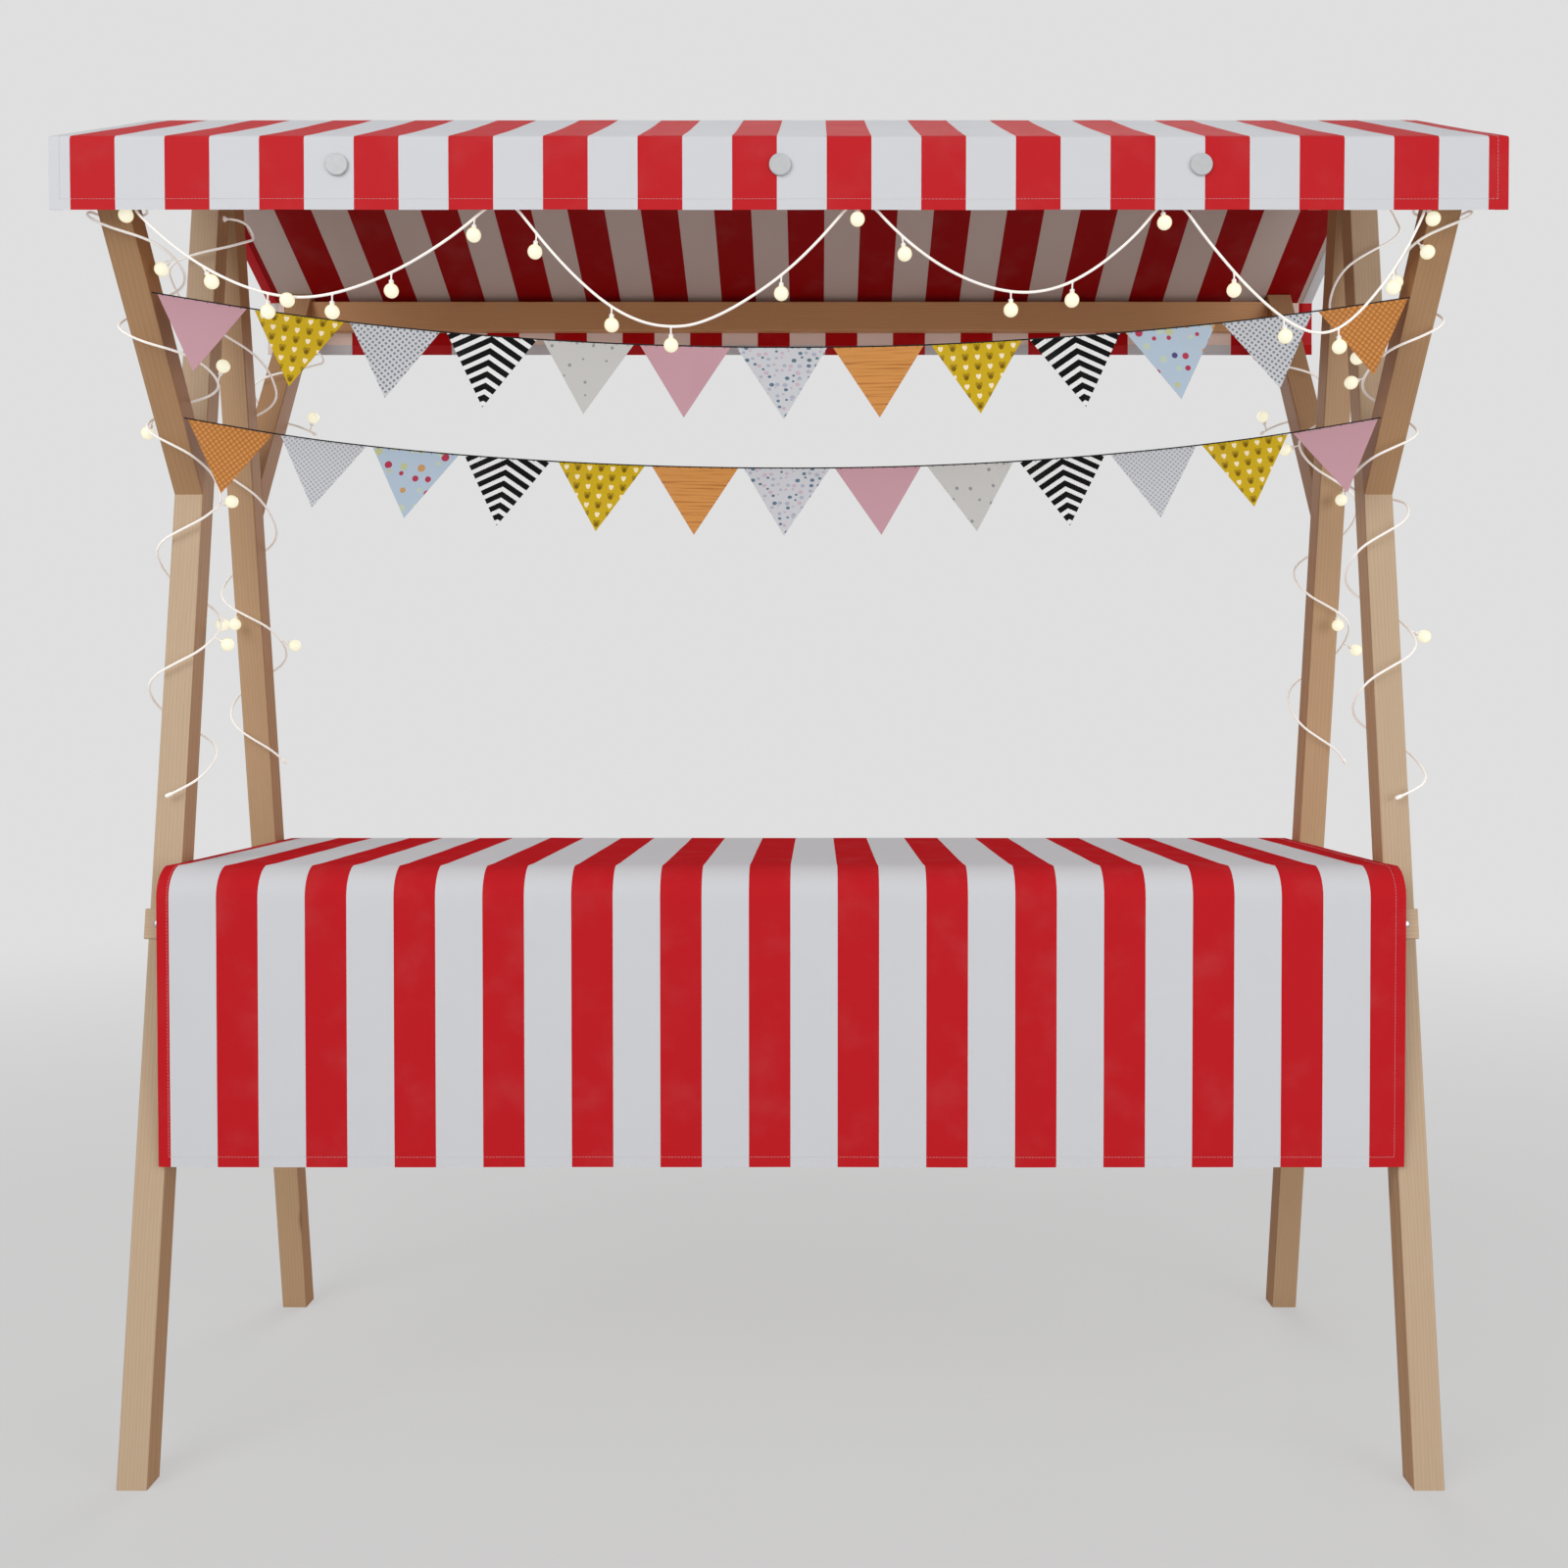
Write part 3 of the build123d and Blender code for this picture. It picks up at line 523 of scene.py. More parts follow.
def dot_group():
    """Dots in staggered rows, nought in between. The notch bends a round dot into a heart."""
    labels = "Vector Column Row Radius Notch"
    group, given, result = shader_group("Staggered Dots", labels, "Mask")
    row = calc(group, "DIVIDE", split(group, given["Vector"], 1), given["Row"])
    odd = calc(group, "FLOORED_MODULO", calc(group, "FLOOR", row), 2.0)
    even = calc(group, "DIVIDE", split(group, given["Vector"]), given["Column"])
    column = calc(group, "MULTIPLY_ADD", odd, 0.5, even)
    away = []
    for place, label in ((column, "Column"), (row, "Row")):
        off = calc(group, "SUBTRACT", calc(group, "FRACT", place), 0.5)
        away.append(calc(group, "MULTIPLY", off, given[label]))
    x, y = away
    bent = calc(group, "MULTIPLY_ADD", calc(group, "ABSOLUTE", x), given["Notch"], y)
    square = calc(group, "MULTIPLY_ADD", x, x, calc(group, "MULTIPLY", bent, bent))
    far = calc(group, "SQRT", square)
    give(group, result, {"Mask": calc(group, "LESS_THAN", far, given["Radius"])})
    return group


def scattered_dot_group():
    """Dots of uneven size at uneven places, and a chance number for each."""
    labels = "Vector Spacing Radius Seed"
    group, given, result = shader_group("Scattered Dots", labels, "Mask Chance")
    aside = put(group, "ShaderNodeCombineXYZ", {0: given["Seed"], 1: given["Seed"]})
    takes = {
        "Vector": vector_calc(group, "ADD", given["Vector"], aside),
        "Scale": calc(group, "DIVIDE", 1.0, given["Spacing"]),
        "Randomness": 0.72,
    }
    cells = put(group, "ShaderNodeTexVoronoi", takes, voronoi_dimensions="2D")
    chances = cells.node.outputs["Color"]
    size = calc(group, "MULTIPLY_ADD", split(group, chances, 1), 0.7, 0.65)
    radius = calc(group, "MULTIPLY", size, given["Radius"])
    mask = calc(group, "LESS_THAN", calc(group, "MULTIPLY", cells, given["Spacing"]), radius)
    give(group, result, {"Mask": mask, "Chance": split(group, chances)})
    return group


group_makers = {
    "Timber Grain": timber_grain_group,
    "Cloth Weave": cloth_weave_group,
    "Stripes": stripe_group,
    "Staggered Dots": dot_group,
    "Scattered Dots": scattered_dot_group,
}


def use_group(tree, name, takes):
    """Places a shared group, which is built at its first use, and gives its first output."""
    group = bpy.data.node_groups.get(name) or group_makers[name]()
    return put(tree, "ShaderNodeGroup", takes, node_tree=group)


# Finishes


def new_material(name):
    """An empty material and its tree."""
    material = bpy.data.materials.new(name)
    material.use_nodes = True
    return material, material.node_tree


def surface(tree, base, roughness, bump, **more):
    """Feeds the main shader. The bump is a height, its strength and its depth in metres."""
    takes = dict(zip(("Height", "Strength", "Distance"), bump))
    more |= {"Base_Color": base, "Roughness": roughness}
    more["Normal"] = put(tree, "ShaderNodeBump", takes)
    shader = tree.nodes["Principled BSDF"]
    give(tree, shader.inputs, {name.replace("_", " "): value for name, value in more.items()})


def timber_finish(name, turn, seed, tone):
    """Planed softwood. The turn brings the piece's length to Z, and the tone tints it, which
    paints shade on the tinted pieces. Faces turned along X get painted shade too.
    """
    material, tree = new_material(name)
    place = object_place(tree)
    along = put(tree, "ShaderNodeMapping", {"Vector": place, "Rotation": turn})
    grain = use_group(tree, "Timber Grain", {"Vector": along, "Seed": seed})
    knots, height = grain.node.outputs["Knots"], grain.node.outputs["Height"]
    late = calc(tree, "MULTIPLY", grain, 0.5)
    wood = blended(tree, late, paint("timber_light", tone), paint("timber_dark", tone))
    wood = blended(tree, calc(tree, "MULTIPLY", knots, 0.7), wood, paint("knot"))
    warmer = blended(tree, 0.14, wood, (0.5, 0.32, 0.18, 1))
    patches = stepped(tree, cloudy(tree, place, 3.2, 3.0), 0.42, 0.75)
    wood = blended(tree, patches, wood, warmer)
    # Faces turned to either side along X are darker and warmer: painted shade.
    faces_x = split(tree, put(tree, "ShaderNodeNewGeometry", out="Normal"))
    side_painted_shade = stepped(tree, calc(tree, "ABSOLUTE", faces_x), 0.6, 0.9)
    wood = blended(tree, side_painted_shade, wood, (0.8, 0.62, 0.47, 1), "MULTIPLY")
    rough = calc(tree, "MULTIPLY_ADD", grain, 0.14, 0.52)
    surface(tree, wood, rough, (height, 0.25, 0.0004), Specular_IOR_Level=0.25)
    return material


def striped_cloth(name, stripes, white, red, painted_backlight=1.0, gloss=0.08):
    """Coated cloth of red and white stripes, from the function that gives the red mask.

    The cloth past the rear eave is brighter by a factor: painted light that shines through it.
    """
    material, tree = new_material(name)
    pattern = put(tree, "ShaderNodeUVMap", uv_map="Cloth")
    weave = use_group(tree, "Cloth Weave", {"Vector": pattern, "Threads": 420.0})
    shade = weave.node.outputs["Shade"]
    base = blended(tree, stripes(tree, pattern), paint(white), paint(red))
    # Past the rear eave the colour is multiplied by a factor: painted light shining through the
    # cloth.
    past_eave = calc(tree, "GREATER_THAN", split(tree, pattern, 1), rear_eave)
    base = blended(tree, past_eave, base, (painted_backlight, painted_backlight, painted_backlight, 1), "MULTIPLY")
    worn = blended(tree, 0.035, base, (0.5, 0.47, 0.44, 1))
    base = blended(tree, stepped(tree, shade, 0.45, 0.8), base, worn)
    rough = calc(tree, "MULTIPLY_ADD", shade, 0.2, 0.5)
    surface(tree, base, rough, (weave, 0.12, 0.0002), Specular_IOR_Level=gloss)
    return material


def roof_stripes(tree, pattern):
    """The front half, the rear slope and the rear valance, each with its stripes shifted."""
    sizes = stall_sizes()
    before_all = -10.0
    red = 0.0
    for seam, start, width in (
        (before_all, sizes.roof_front_start, sizes.roof_red),
        (0.0, sizes.roof_rear_start, sizes.roof_rear_red),
        (rear_eave, sizes.rear_valance_start, sizes.roof_red),
    ):
        places = {"Across": split(tree, pattern), "Start": start, "Pitch": sizes.roof_pitch}
        past_seam = calc(tree, "GREATER_THAN", split(tree, pattern, 1), seam)
        before = calc(tree, "MULTIPLY", red, calc(tree, "SUBTRACT", 1.0, past_seam))
        mask = use_group(tree, "Stripes", places | {"Width": width})
        red = calc(tree, "MULTIPLY_ADD", mask, past_seam, before)
    return red


def counter_stripes(tree, pattern):
    """The even stripes of the counter cloth, which run from hem to hem."""
    sizes = stall_sizes()
    places = {"Across": split(tree, pattern), "Start": sizes.counter_start}
    places |= {"Pitch": sizes.counter_pitch, "Width": sizes.counter_red}
    return use_group(tree, "Stripes", places)


def plain_finish(name, base, roughness, scale, uneven=0.06, metallic=0.0, glow=0.0):
    """A slightly uneven material, built at its first use. A glow, where given, is painted light on
    a piece that is no lamp.
    """
    if name in bpy.data.materials:
        return bpy.data.materials[name]
    material, tree = new_material(name)
    cloud = cloudy(tree, object_place(tree), scale, 4.0)
    tone = blended(tree, cloud, paint(base), paint(base, [1 - 3 * uneven] * 3))
    rough = calc(tree, "MULTIPLY_ADD", cloud, 0.16, roughness - 0.08)
    # An emission strength above nought paints light on a piece that is no lamp.
    light = {"Emission_Color": paint(base), "Emission_Strength": glow}
    surface(tree, tone, rough, (cloud, 0.3, 0.00004), Metallic=metallic, **light)
    return material


def sewing_thread():
    """The finish of the stitches."""
    return plain_finish("Sewing thread", "thread", 0.7, 600.0)


def cord_jacket():
    """The finish of the light cord and its joints, ends and clips, which glows faintly: painted
    light that lifts its shaded parts.
    """
    return plain_finish("Light cord jacket", "light_cord", 0.5, 400.0, uneven=0.03, glow=0.2)


def globe_finish():
    """A frosted globe that glows, a little warmer and less towards its rim."""
    material, tree = new_material("Lit globe")
    frost = cloudy(tree, object_place(tree), 900.0, 2.0)
    milk = blended(tree, frost, paint("globe", (0.36, 0.36, 0.36)), (0.3, 0.28, 0.19, 1))
    rim = stepped(tree, put(tree, "ShaderNodeLayerWeight", out="Facing"), 0.35, 1.0)
    light = blended(tree, rim, paint("globe"), (0.8, 0.66, 0.3, 1))
    rough = calc(tree, "MULTIPLY_ADD", frost, 0.1, 0.32)
    glow = {"Emission_Color": light, "Emission_Strength": 0.74}
    surface(tree, milk, rough, (frost, 0.1, 0.00003), **glow)
    return material


def twine_finish():
    """Twine of laid strands: a fine slanting pattern that turns along all three axes."""
    material, tree = new_material("Black twine")
    turns_per_metre, turns_at_scale_one = 420.0, 3.18
    scale = turns_per_metre / turns_at_scale_one
    takes = {"Vector": object_place(tree), "Scale": scale, "Distortion": 0.6, "Detail": 1.0}
    strands = put(tree, "ShaderNodeTexWave", takes, out=1, bands_direction="DIAGONAL")
    tone = blended(tree, strands, paint("twine", (0.55, 0.55, 0.55)), paint("twine"))
    rough = calc(tree, "MULTIPLY_ADD", strands, 0.1, 0.8)
    surface(tree, tone, rough, (strands, 0.4, 0.0002))
    return material


# Prints of the flags: each gives a colour from a tree and the flag's pattern, which runs
# across from the flag's middle and down from its top, in metres


def staggered(tree, pattern, column, row, radius, notch=0.0, strength=1.0):
    """The mask of staggered dots or hearts, at a strength."""
    marks = {"Vector": pattern, "Column": column, "Row": row, "Radius": radius, "Notch": notch}
    return calc(tree, "MULTIPLY", use_group(tree, "Staggered Dots", marks), strength)


def scattered(tree, pattern, spacing, radius, seed):
    """The mask of scattered dots and their chance numbers."""
    marks = {"Vector": pattern, "Spacing": spacing, "Radius": radius, "Seed": seed}
    mask = use_group(tree, "Scattered Dots", marks)
    return mask, mask.node.outputs["Chance"]


def pink_print(tree, pattern):
    """Plain pink cotton."""
    return paint("pink")


def yellow_print(tree, pattern):
    """Cream hearts and brown winged marks that take turns both across and down."""
    column, row = 0.0348, 0.0139
    aside = vector_calc(tree, "ADD", pattern, (column / 2, 0.0, 0.0))
    base = paint("yellow")
    for radius, notch, strength in ((0.0052, 0.7, 0.45), (0.0032, -0.3, 0.7)):
        brown = staggered(tree, aside, column, row, radius, notch, strength)
        base = blended(tree, brown, base, paint("yellow_mark"))
    hearts = staggered(tree, pattern, column, row, 0.0036, 0.6)
    return blended(tree, hearts, base, paint("cream"))


def orange_print(tree, pattern):
    """Fine darker lines that cross the cloth unevenly."""
    drawn = vector_calc(tree, "MULTIPLY", pattern, (9.0, 300.0, 1.0))
    lines = stepped(tree, cloudy(tree, drawn, 1.0, 1.0), 0.5, 0.68)
    lines = calc(tree, "MULTIPLY", lines, 0.8)
    return blended(tree, lines, paint("orange"), paint("orange_line"))


def honeycomb_print(tree, pattern):
    """Orange cloth woven with staggered lighter lozenges."""
    ground = blended(tree, 0.8, paint("orange"), paint("orange_line"))
    lozenges = staggered(tree, pattern, 0.0088, 0.0046, 0.0024)
    return blended(tree, lozenges, ground, paint("orange"))


def lattice_print(tree, pattern):
    """White cloth with a slanting lattice of grey dots."""
    dots = staggered(tree, pattern, 0.0094, 0.0043, 0.0018)
    return blended(tree, dots, paint("pale"), paint("grey"))


def netting_print(tree, pattern):
    """White cloth with a finer and fainter lattice."""
    dots = staggered(tree, pattern, 0.0078, 0.0036, 0.0016, strength=0.6)
    return blended(tree, dots, paint("pale"), paint("grey"))


def chevron_print(tree, pattern):
    """Black and white bands that fall away from the flag's middle."""
    fall = calc(tree, "MULTIPLY", calc(tree, "ABSOLUTE", split(tree, pattern)), 0.56)
    level = calc(tree, "SUBTRACT", split(tree, pattern, 1), fall)
    bands = {"Across": level, "Start": 0.009, "Pitch": 0.0165, "Width": 0.0071}
    return blended(tree, use_group(tree, "Stripes", bands), paint("black"), (0.8, 0.8, 0.8, 1))


def speckled_print(tree, pattern):
    """Ivory cloth with a few small grey dots."""
    dots, _ = scattered(tree, pattern, 0.026, 0.0022, 3.1)
    return blended(tree, calc(tree, "MULTIPLY", dots, 0.75), paint("ivory"), paint("grey"))


def blossom_print(tree, pattern):
    """White cloth with many small blossoms: most are faint, and a few are deep blue."""
    squat = vector_calc(tree, "MULTIPLY", pattern, (1.0, 1.3, 1.0))
    dots, chance = scattered(tree, squat, 0.0112, 0.0029, 7.7)
    rose = calc(tree, "LESS_THAN", chance, 0.3)
    mark = blended(tree, rose, (0.4, 0.42, 0.5, 1), paint("rose"))
    mark = blended(tree, calc(tree, "GREATER_THAN", chance, 0.62), mark, paint("blue"))
    return blended(tree, dots, paint("pale"), mark)


def confetti_print(tree, pattern):
    """Light blue cloth with round spots of several colours."""
    dots, chance = scattered(tree, pattern, 0.021, 0.0044, 12.4)
    ramp = put(tree, "ShaderNodeValToRGB", {"Fac": chance})
    stops = ramp.node.color_ramp
    stops.interpolation = "CONSTANT"
    stops.elements[0].color = (0.42, 0.04, 0.08, 1)
    stops.elements[1].position = 0.3
    stops.elements[1].color = (0.5, 0.52, 0.3, 1)
    for position, spot in (
        (0.45, (0.09, 0.07, 0.2, 1)), (0.56, (0.55, 0.3, 0.12, 1)), (0.66, (0.5, 0.58, 0.46, 1)),
    ):
        stops.elements.new(position).color = spot
    return blended(tree, dots, paint("sky"), ramp)


flag_prints = {
    "pink": pink_print, "yellow": yellow_print, "orange": orange_print,
    "honeycomb": honeycomb_print, "netting": netting_print, "lattice": lattice_print,
    "chevron": chevron_print, "speckled": speckled_print, "blossom": blossom_print,
    "confetti": confetti_print,
}


def flag_finish(kind):
    """Printed cotton of one kind of flag, built at its first use."""
    name = "Flag " + kind
    if name in bpy.data.materials:
        return bpy.data.materials[name]
    material, tree = new_material(name)
    pattern = put(tree, "ShaderNodeUVMap", uv_map="Cloth")
    weave = use_group(tree, "Cloth Weave", {"Vector": pattern, "Threads": 900.0})
    shade = stepped(tree, weave.node.outputs["Shade"], 0.45, 0.8)
    worn = calc(tree, "MULTIPLY", shade, 0.06)
    base = blended(tree, worn, flag_prints[kind](tree, pattern), (0.42, 0.4, 0.38, 1))
    rough = calc(tree, "MULTIPLY_ADD", shade, 0.1, 0.8)
    surface(tree, base, rough, (weave, 0.08, 0.0001), Specular_IOR_Level=0.12)
    return material


# Meshes


def new_object(name, data, *materials):
    """An object at the origin with its materials."""
    piece = bpy.data.objects.new(name, data)
    bpy.context.scene.collection.objects.link(piece)
    for material in materials:
        data.materials.append(material)
    return piece


def settled(piece):
    """Turns a piece's modifiers into its mesh."""
    bpy.context.view_layer.update()
    evaluated = piece.evaluated_get(bpy.context.evaluated_depsgraph_get())
    mesh = bpy.data.meshes.new_from_object(evaluated)
    piece.modifiers.clear()
    piece.data = mesh
    return piece


def smooth(mesh, angle):
    """Smooth faces with edges kept sharp past an angle."""
    mesh.polygons.foreach_set("use_smooth", [True] * len(mesh.polygons))
    mesh.set_sharp_from_angle(angle=math.radians(angle))


def mesh_of(form, name, angle=35.0):
    """A smooth mesh from a form in the making."""
    mesh = bpy.data.meshes.new(name)
    form.to_mesh(mesh)
    form.free()
    smooth(mesh, angle)
    return mesh


def circle(count):
    """Cosine and sine of even steps round a circle."""
    return [(math.cos(a), math.sin(a)) for a in (2 * math.pi * n / count for n in range(count))]


def turned_form(name, outline, sides=24, across=1.0, along=1.0):
    """A round form about Z from its outline of (radius, height), in units across and along."""
    form = bmesh.new()
    rings = []
    for radius, height in ((across * r, along * z) for r, z in outline):
        spots = circle(sides) if radius else [(0, 0)]
        rings.append([form.verts.new((radius * x, radius * y, height)) for x, y in spots])
    for low, high in zip(rings, rings[1:]):
        for n in range(sides):
            corners = [low[n % len(low)], low[(n + 1) % len(low)]]
            corners += [high[(n + 1) % len(high)], high[n % len(high)]]
            form.faces.new(list(dict.fromkeys(corners)))
    bmesh.ops.recalc_face_normals(form, faces=form.faces)
    return mesh_of(form, name)


def thickened(piece, thickness, angle, back=0):
    """Gives a sheet its thickness. Its back takes the material that many slots further on."""
    walls = piece.modifiers.new("Thickness", "SOLIDIFY")
    walls.thickness = thickness
    walls.offset = 0.0
    walls.material_offset = back
    smooth(settled(piece).data, angle)
    return piece


def belonging(piece, node=None):
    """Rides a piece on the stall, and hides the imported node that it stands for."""
    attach(piece, "root")
    if node:
        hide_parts(node)
    return piece


def refinish(node, finish):
    """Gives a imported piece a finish."""
    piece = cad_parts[node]
    piece.data.materials.clear()
    piece.data.materials.append(finish)


# Geometry node trees


def grower(name, inputs):
    """An empty geometry tree with named inputs, and the sockets of its start."""
    tree = bpy.data.node_groups.new(name, "GeometryNodeTree")
    for label, kind in (("Geometry", "Geometry"), *inputs, ("Finish", "Material")):
        tree.interface.new_socket(name=label, in_out="INPUT", socket_type="NodeSocket" + kind)
    tree.interface.new_socket(name="Geometry", in_out="OUTPUT", socket_type="NodeSocketGeometry")
    return tree, tree.nodes.new("NodeGroupInput").outputs


def grow_on_points(tree, given, points, instance, facing):
    """Ends a tree: an instance on every point, turned to its facing, made real and finished."""
    turn = put(tree, "FunctionNodeAlignRotationToVector", {"Vector": facing}, axis="Z")
    takes = {"Points": points, "Instance": instance, "Rotation": turn}
    placed = put(tree, "GeometryNodeInstanceOnPoints", takes)
    whole = put(tree, "GeometryNodeRealizeInstances", {"Geometry": placed})
    takes = {"Geometry": whole, "Material": given["Finish"]}
    finished = put(tree, "GeometryNodeSetMaterial", takes)
    tree.links.new(finished, tree.nodes.new("NodeGroupOutput").inputs["Geometry"])
    return tree


def repeated_piece_tree():
    """Puts a piece on every point, turned to the way that the point faces."""
    tree, given = grower("Repeated Piece", [("Piece", "Object")])
    piece = put(tree, "GeometryNodeObjectInfo", {"Object": given["Piece"]}, "Geometry")
    takes = {"Name": "way"}
    way = put(tree, "GeometryNodeInputNamedAttribute", takes, data_type="FLOAT_VECTOR")
    return grow_on_points(tree, given, given["Geometry"], piece, way)


def stitch_row_tree():
    """Lays short stitches at an even pitch along lines."""
    inputs = [(label, "Float") for label in ("Stitch", "Pitch", "Thread")]
    tree, given = grower("Stitch Row", inputs)
    line = put(tree, "GeometryNodeMeshToCurve", {"Mesh": given["Geometry"]})
    takes = {"Curve": line, "Length": given["Pitch"]}
    evened = put(tree, "GeometryNodeResampleCurve", takes, mode="LENGTH")
    takes = {"Vertices": 6, "Radius": given["Thread"], "Depth": given["Stitch"]}
    stitch = put(tree, "GeometryNodeMeshCylinder", takes)
    return grow_on_points(tree, given, evened, stitch, put(tree, "GeometryNodeInputTangent"))


tree_makers = {"Repeated Piece": repeated_piece_tree, "Stitch Row": stitch_row_tree}


def grown(name, seed_mesh, tree_name, **values):
    """A plain mesh piece grown by a geometry tree from a seed mesh."""
    tree = bpy.data.node_groups.get(tree_name) or tree_makers[tree_name]()
    piece = new_object(name, seed_mesh)
    modifier = piece.modifiers.new(tree_name, "NODES")
    modifier.node_group = tree
    inputs = [item for item in tree.interface.items_tree if item.in_out == "INPUT"]
    sockets = {item.name: item.identifier for item in inputs}
    for label, value in values.items():
        modifier[sockets[label]] = value
    settled(piece)
    bpy.data.meshes.remove(seed_mesh)
    return piece


def repeated(name, form_mesh, spots, finish):
    """One piece of many like forms, one at each spot, turned to the way given with it."""
    form = new_object(name + "_form", form_mesh)
    points = bpy.data.meshes.new(name + "_spots")
    points.from_pydata([tuple(place) for place, _ in spots], [], [])
    ways = points.attributes.new("way", "FLOAT_VECTOR", "POINT")
    for item, (_, way) in zip(ways.data, spots):
        item.vector = Vector(way).normalized()
    piece = grown(name, points, "Repeated Piece", Piece=form, Finish=finish)
    bpy.data.objects.remove(form)
    return piece


def stitched(name, lines, finish):
    """Rows of stitches along lines of points."""
    sizes = stall_sizes()
    mesh = bpy.data.meshes.new(name + "_lines")
    verts, edges = [], []
    for line in lines:
        edges += [(len(verts) + n, len(verts) + n + 1) for n in range(len(line) - 1)]
        verts += [tuple(point) for point in line]
    mesh.from_pydata(verts, edges, [])
    takes = {"Stitch": sizes.stitch, "Pitch": sizes.stitch_pitch, "Thread": thread_radius}
    return grown(name, mesh, "Stitch Row", Finish=finish, **takes)


# Cloths


def rounded_outline(corners, folds, bend_steps=8):
    """Points of a cloth's outer face seen from the side, with round folds at its corners."""
    points = [Vector(corners[0])]
    for *three, fold in zip(corners, corners[1:], corners[2:], folds):
        before, here, after = map(Vector, three)
        back, on = (before - here).normalized(), (after - here).normalized()
        half = back.angle(on) / 2
        centre = here + (back + on).normalized() * (fold / math.sin(half))
        start = here + back * (fold / math.tan(half)) - centre
        sweep = math.copysign(math.pi - 2 * half, start.cross(here - centre))
        for step in range(bend_steps + 1):
            points.append(centre + Matrix.Rotation(sweep * step / bend_steps, 2) @ start)
    return [*points, Vector(corners[-1])]


class ClothSide:
    """A cloth's line seen from the side: a place and a normal at each length along it."""

    def __init__(self, corners, folds, spacing):
        self.points = rounded_outline(corners, folds)
        steps = [(b - a).length for a, b in zip(self.points, self.points[1:])]
        self.lengths = list(itertools.accumulate(steps, initial=0.0))
        self.total = self.lengths[-1]
        self.spacing = spacing

    def stations(self):
        """Lengths at which the cloth gets a row: all of the bends', and even ones on the flats."""
        found = []
        for low, high in zip(self.lengths, self.lengths[1:]):
            steps = max(1, round((high - low) / self.spacing))
            found += [low + (high - low) * n / steps for n in range(steps)]
        return found + [self.total]

    def at(self, along):
        """Place (y, z) and outward normal at a length along the cloth."""
        along = min(max(along, 0.0), self.total)
        last = len(self.lengths) - 1
        n = next((k for k in range(1, last + 1) if self.lengths[k] >= along), last)
        step = max(self.lengths[n] - self.lengths[n - 1], 1e-9)
        share = (along - self.lengths[n - 1]) / step
        run = self.direction(n - 1).lerp(self.direction(n), share).normalized()
        return self.points[n - 1].lerp(self.points[n], share), Vector((-run.y, run.x))

    def direction(self, n):
        """The way that the line runs at one of its points."""
        low, high = max(n - 1, 0), min(n + 1, len(self.points) - 1)
        return (self.points[high] - self.points[low]).normalized()


class HemmedCloth:
    """A cloth over a side line, its hems folded back under it. Lengths start at the front hem."""

    def __init__(self, side, half_width, displace):
        sizes = stall_sizes()
        self.side = side
        self.half_width = half_width
        self.displace = displace
        self.hem = sizes.hem
        self.layer = sizes.cloth * 1.2
        self.depth = sizes.cloth * 0.85
        self.flat_length = side.total + 2 * self.hem
        self.middle = self.flat_length / 2
        self.half = half_width(side.total / 2)

    def rows(self):
        """Lengths of the rows, with the raw edges and the folds."""
        low, high = self.hem, self.hem + self.side.total
        turn = self.layer / 2
        inner = [low + station for station in self.side.stations()]
        return [0.0, low - turn, *inner, high + turn, self.flat_length]

    def columns(self):
        """Places across, with the raw edges and the folds."""
        half, turn = self.half, self.layer / 2
        count = round(2 * half / column_spacing)
        inner = [-half + 2 * half * n / count for n in range(count + 1)]
        return [-half - self.hem, -half - turn, *inner, half + turn, half + self.hem]

    def place(self, x, along, lift=0.0):
        """Where a point of the flat cloth lies. The lift raises it from the cloth's middle."""
        station = along - self.hem
        past = max(-station, station - self.side.total, 0.0)
        layers = min(past / self.layer, 1.0)
        if past:
            station = past if station < 0 else self.side.total - past
        if abs(x) > self.half:
            layers += min((abs(x) - self.half) / self.layer, 1.0)
            x = math.copysign(2 * self.half - abs(x), x)
        x *= self.half_width(station) / self.half
        (y, z), normal = self.side.at(station)
        off = lift - self.depth - layers * self.layer + self.displace(x, station)
        return Vector((x, y + normal.x * off, z + normal.y * off))


def eased(value, low, high):
    """A value as a soft step from nought at low to one at high."""
    share = min(max((value - low) / (high - low), 0.0), 1.0)
    return share * share * (3 - 2 * share)


def wavy(*place):
    """Soft noise between about minus and plus one."""
    return noise.noise(Vector(place))


def roof_form():
    """The roof cloth: plumb valances, two slopes pulled nearly straight, and a flat top."""
    front = [(-eave_y, roof_low.z), (-eave_y, eave_height), (-ridge_y, ridge_height)]
    corners = front + [(-y, z) for y, z in reversed(front)]
    folds = [eave_fold, ridge_fold, ridge_fold, eave_fold]
    side = ClothSide(corners, folds, spacing=0.016)
    sag, droop, ripple, crease = 0.0012, 0.00042, 0.0022, 0.0005
    over_plates, past_plates, loose_edge = (0.80, 0.895), (0.944, 0.98), 0.055

    def displace(x, station):
        from_hem = min(station, side.total - station)
        on_slope = (from_hem - (eave_height - roof_low.z)) / roof_slope
        bow = math.sin(math.pi * min(max(on_slope, 0), 1))
        inward = sag * (1 - eased(abs(x), *over_plates)) + droop * eased(abs(x), *past_plates)
        at_edge = 1 - eased(from_hem, 0.0, loose_edge)
        rear = 5.0 if station > side.total / 2 else 0.0
        edge = ripple * at_edge * wavy(x * 5.2, rear, 0.3)
        fine = crease * (1 - at_edge) * wavy(x * 9.0, station * 11.0, 2.0)
        return edge + fine - bow * inward

    return HemmedCloth(side, lambda station: roof_high.x, displace)


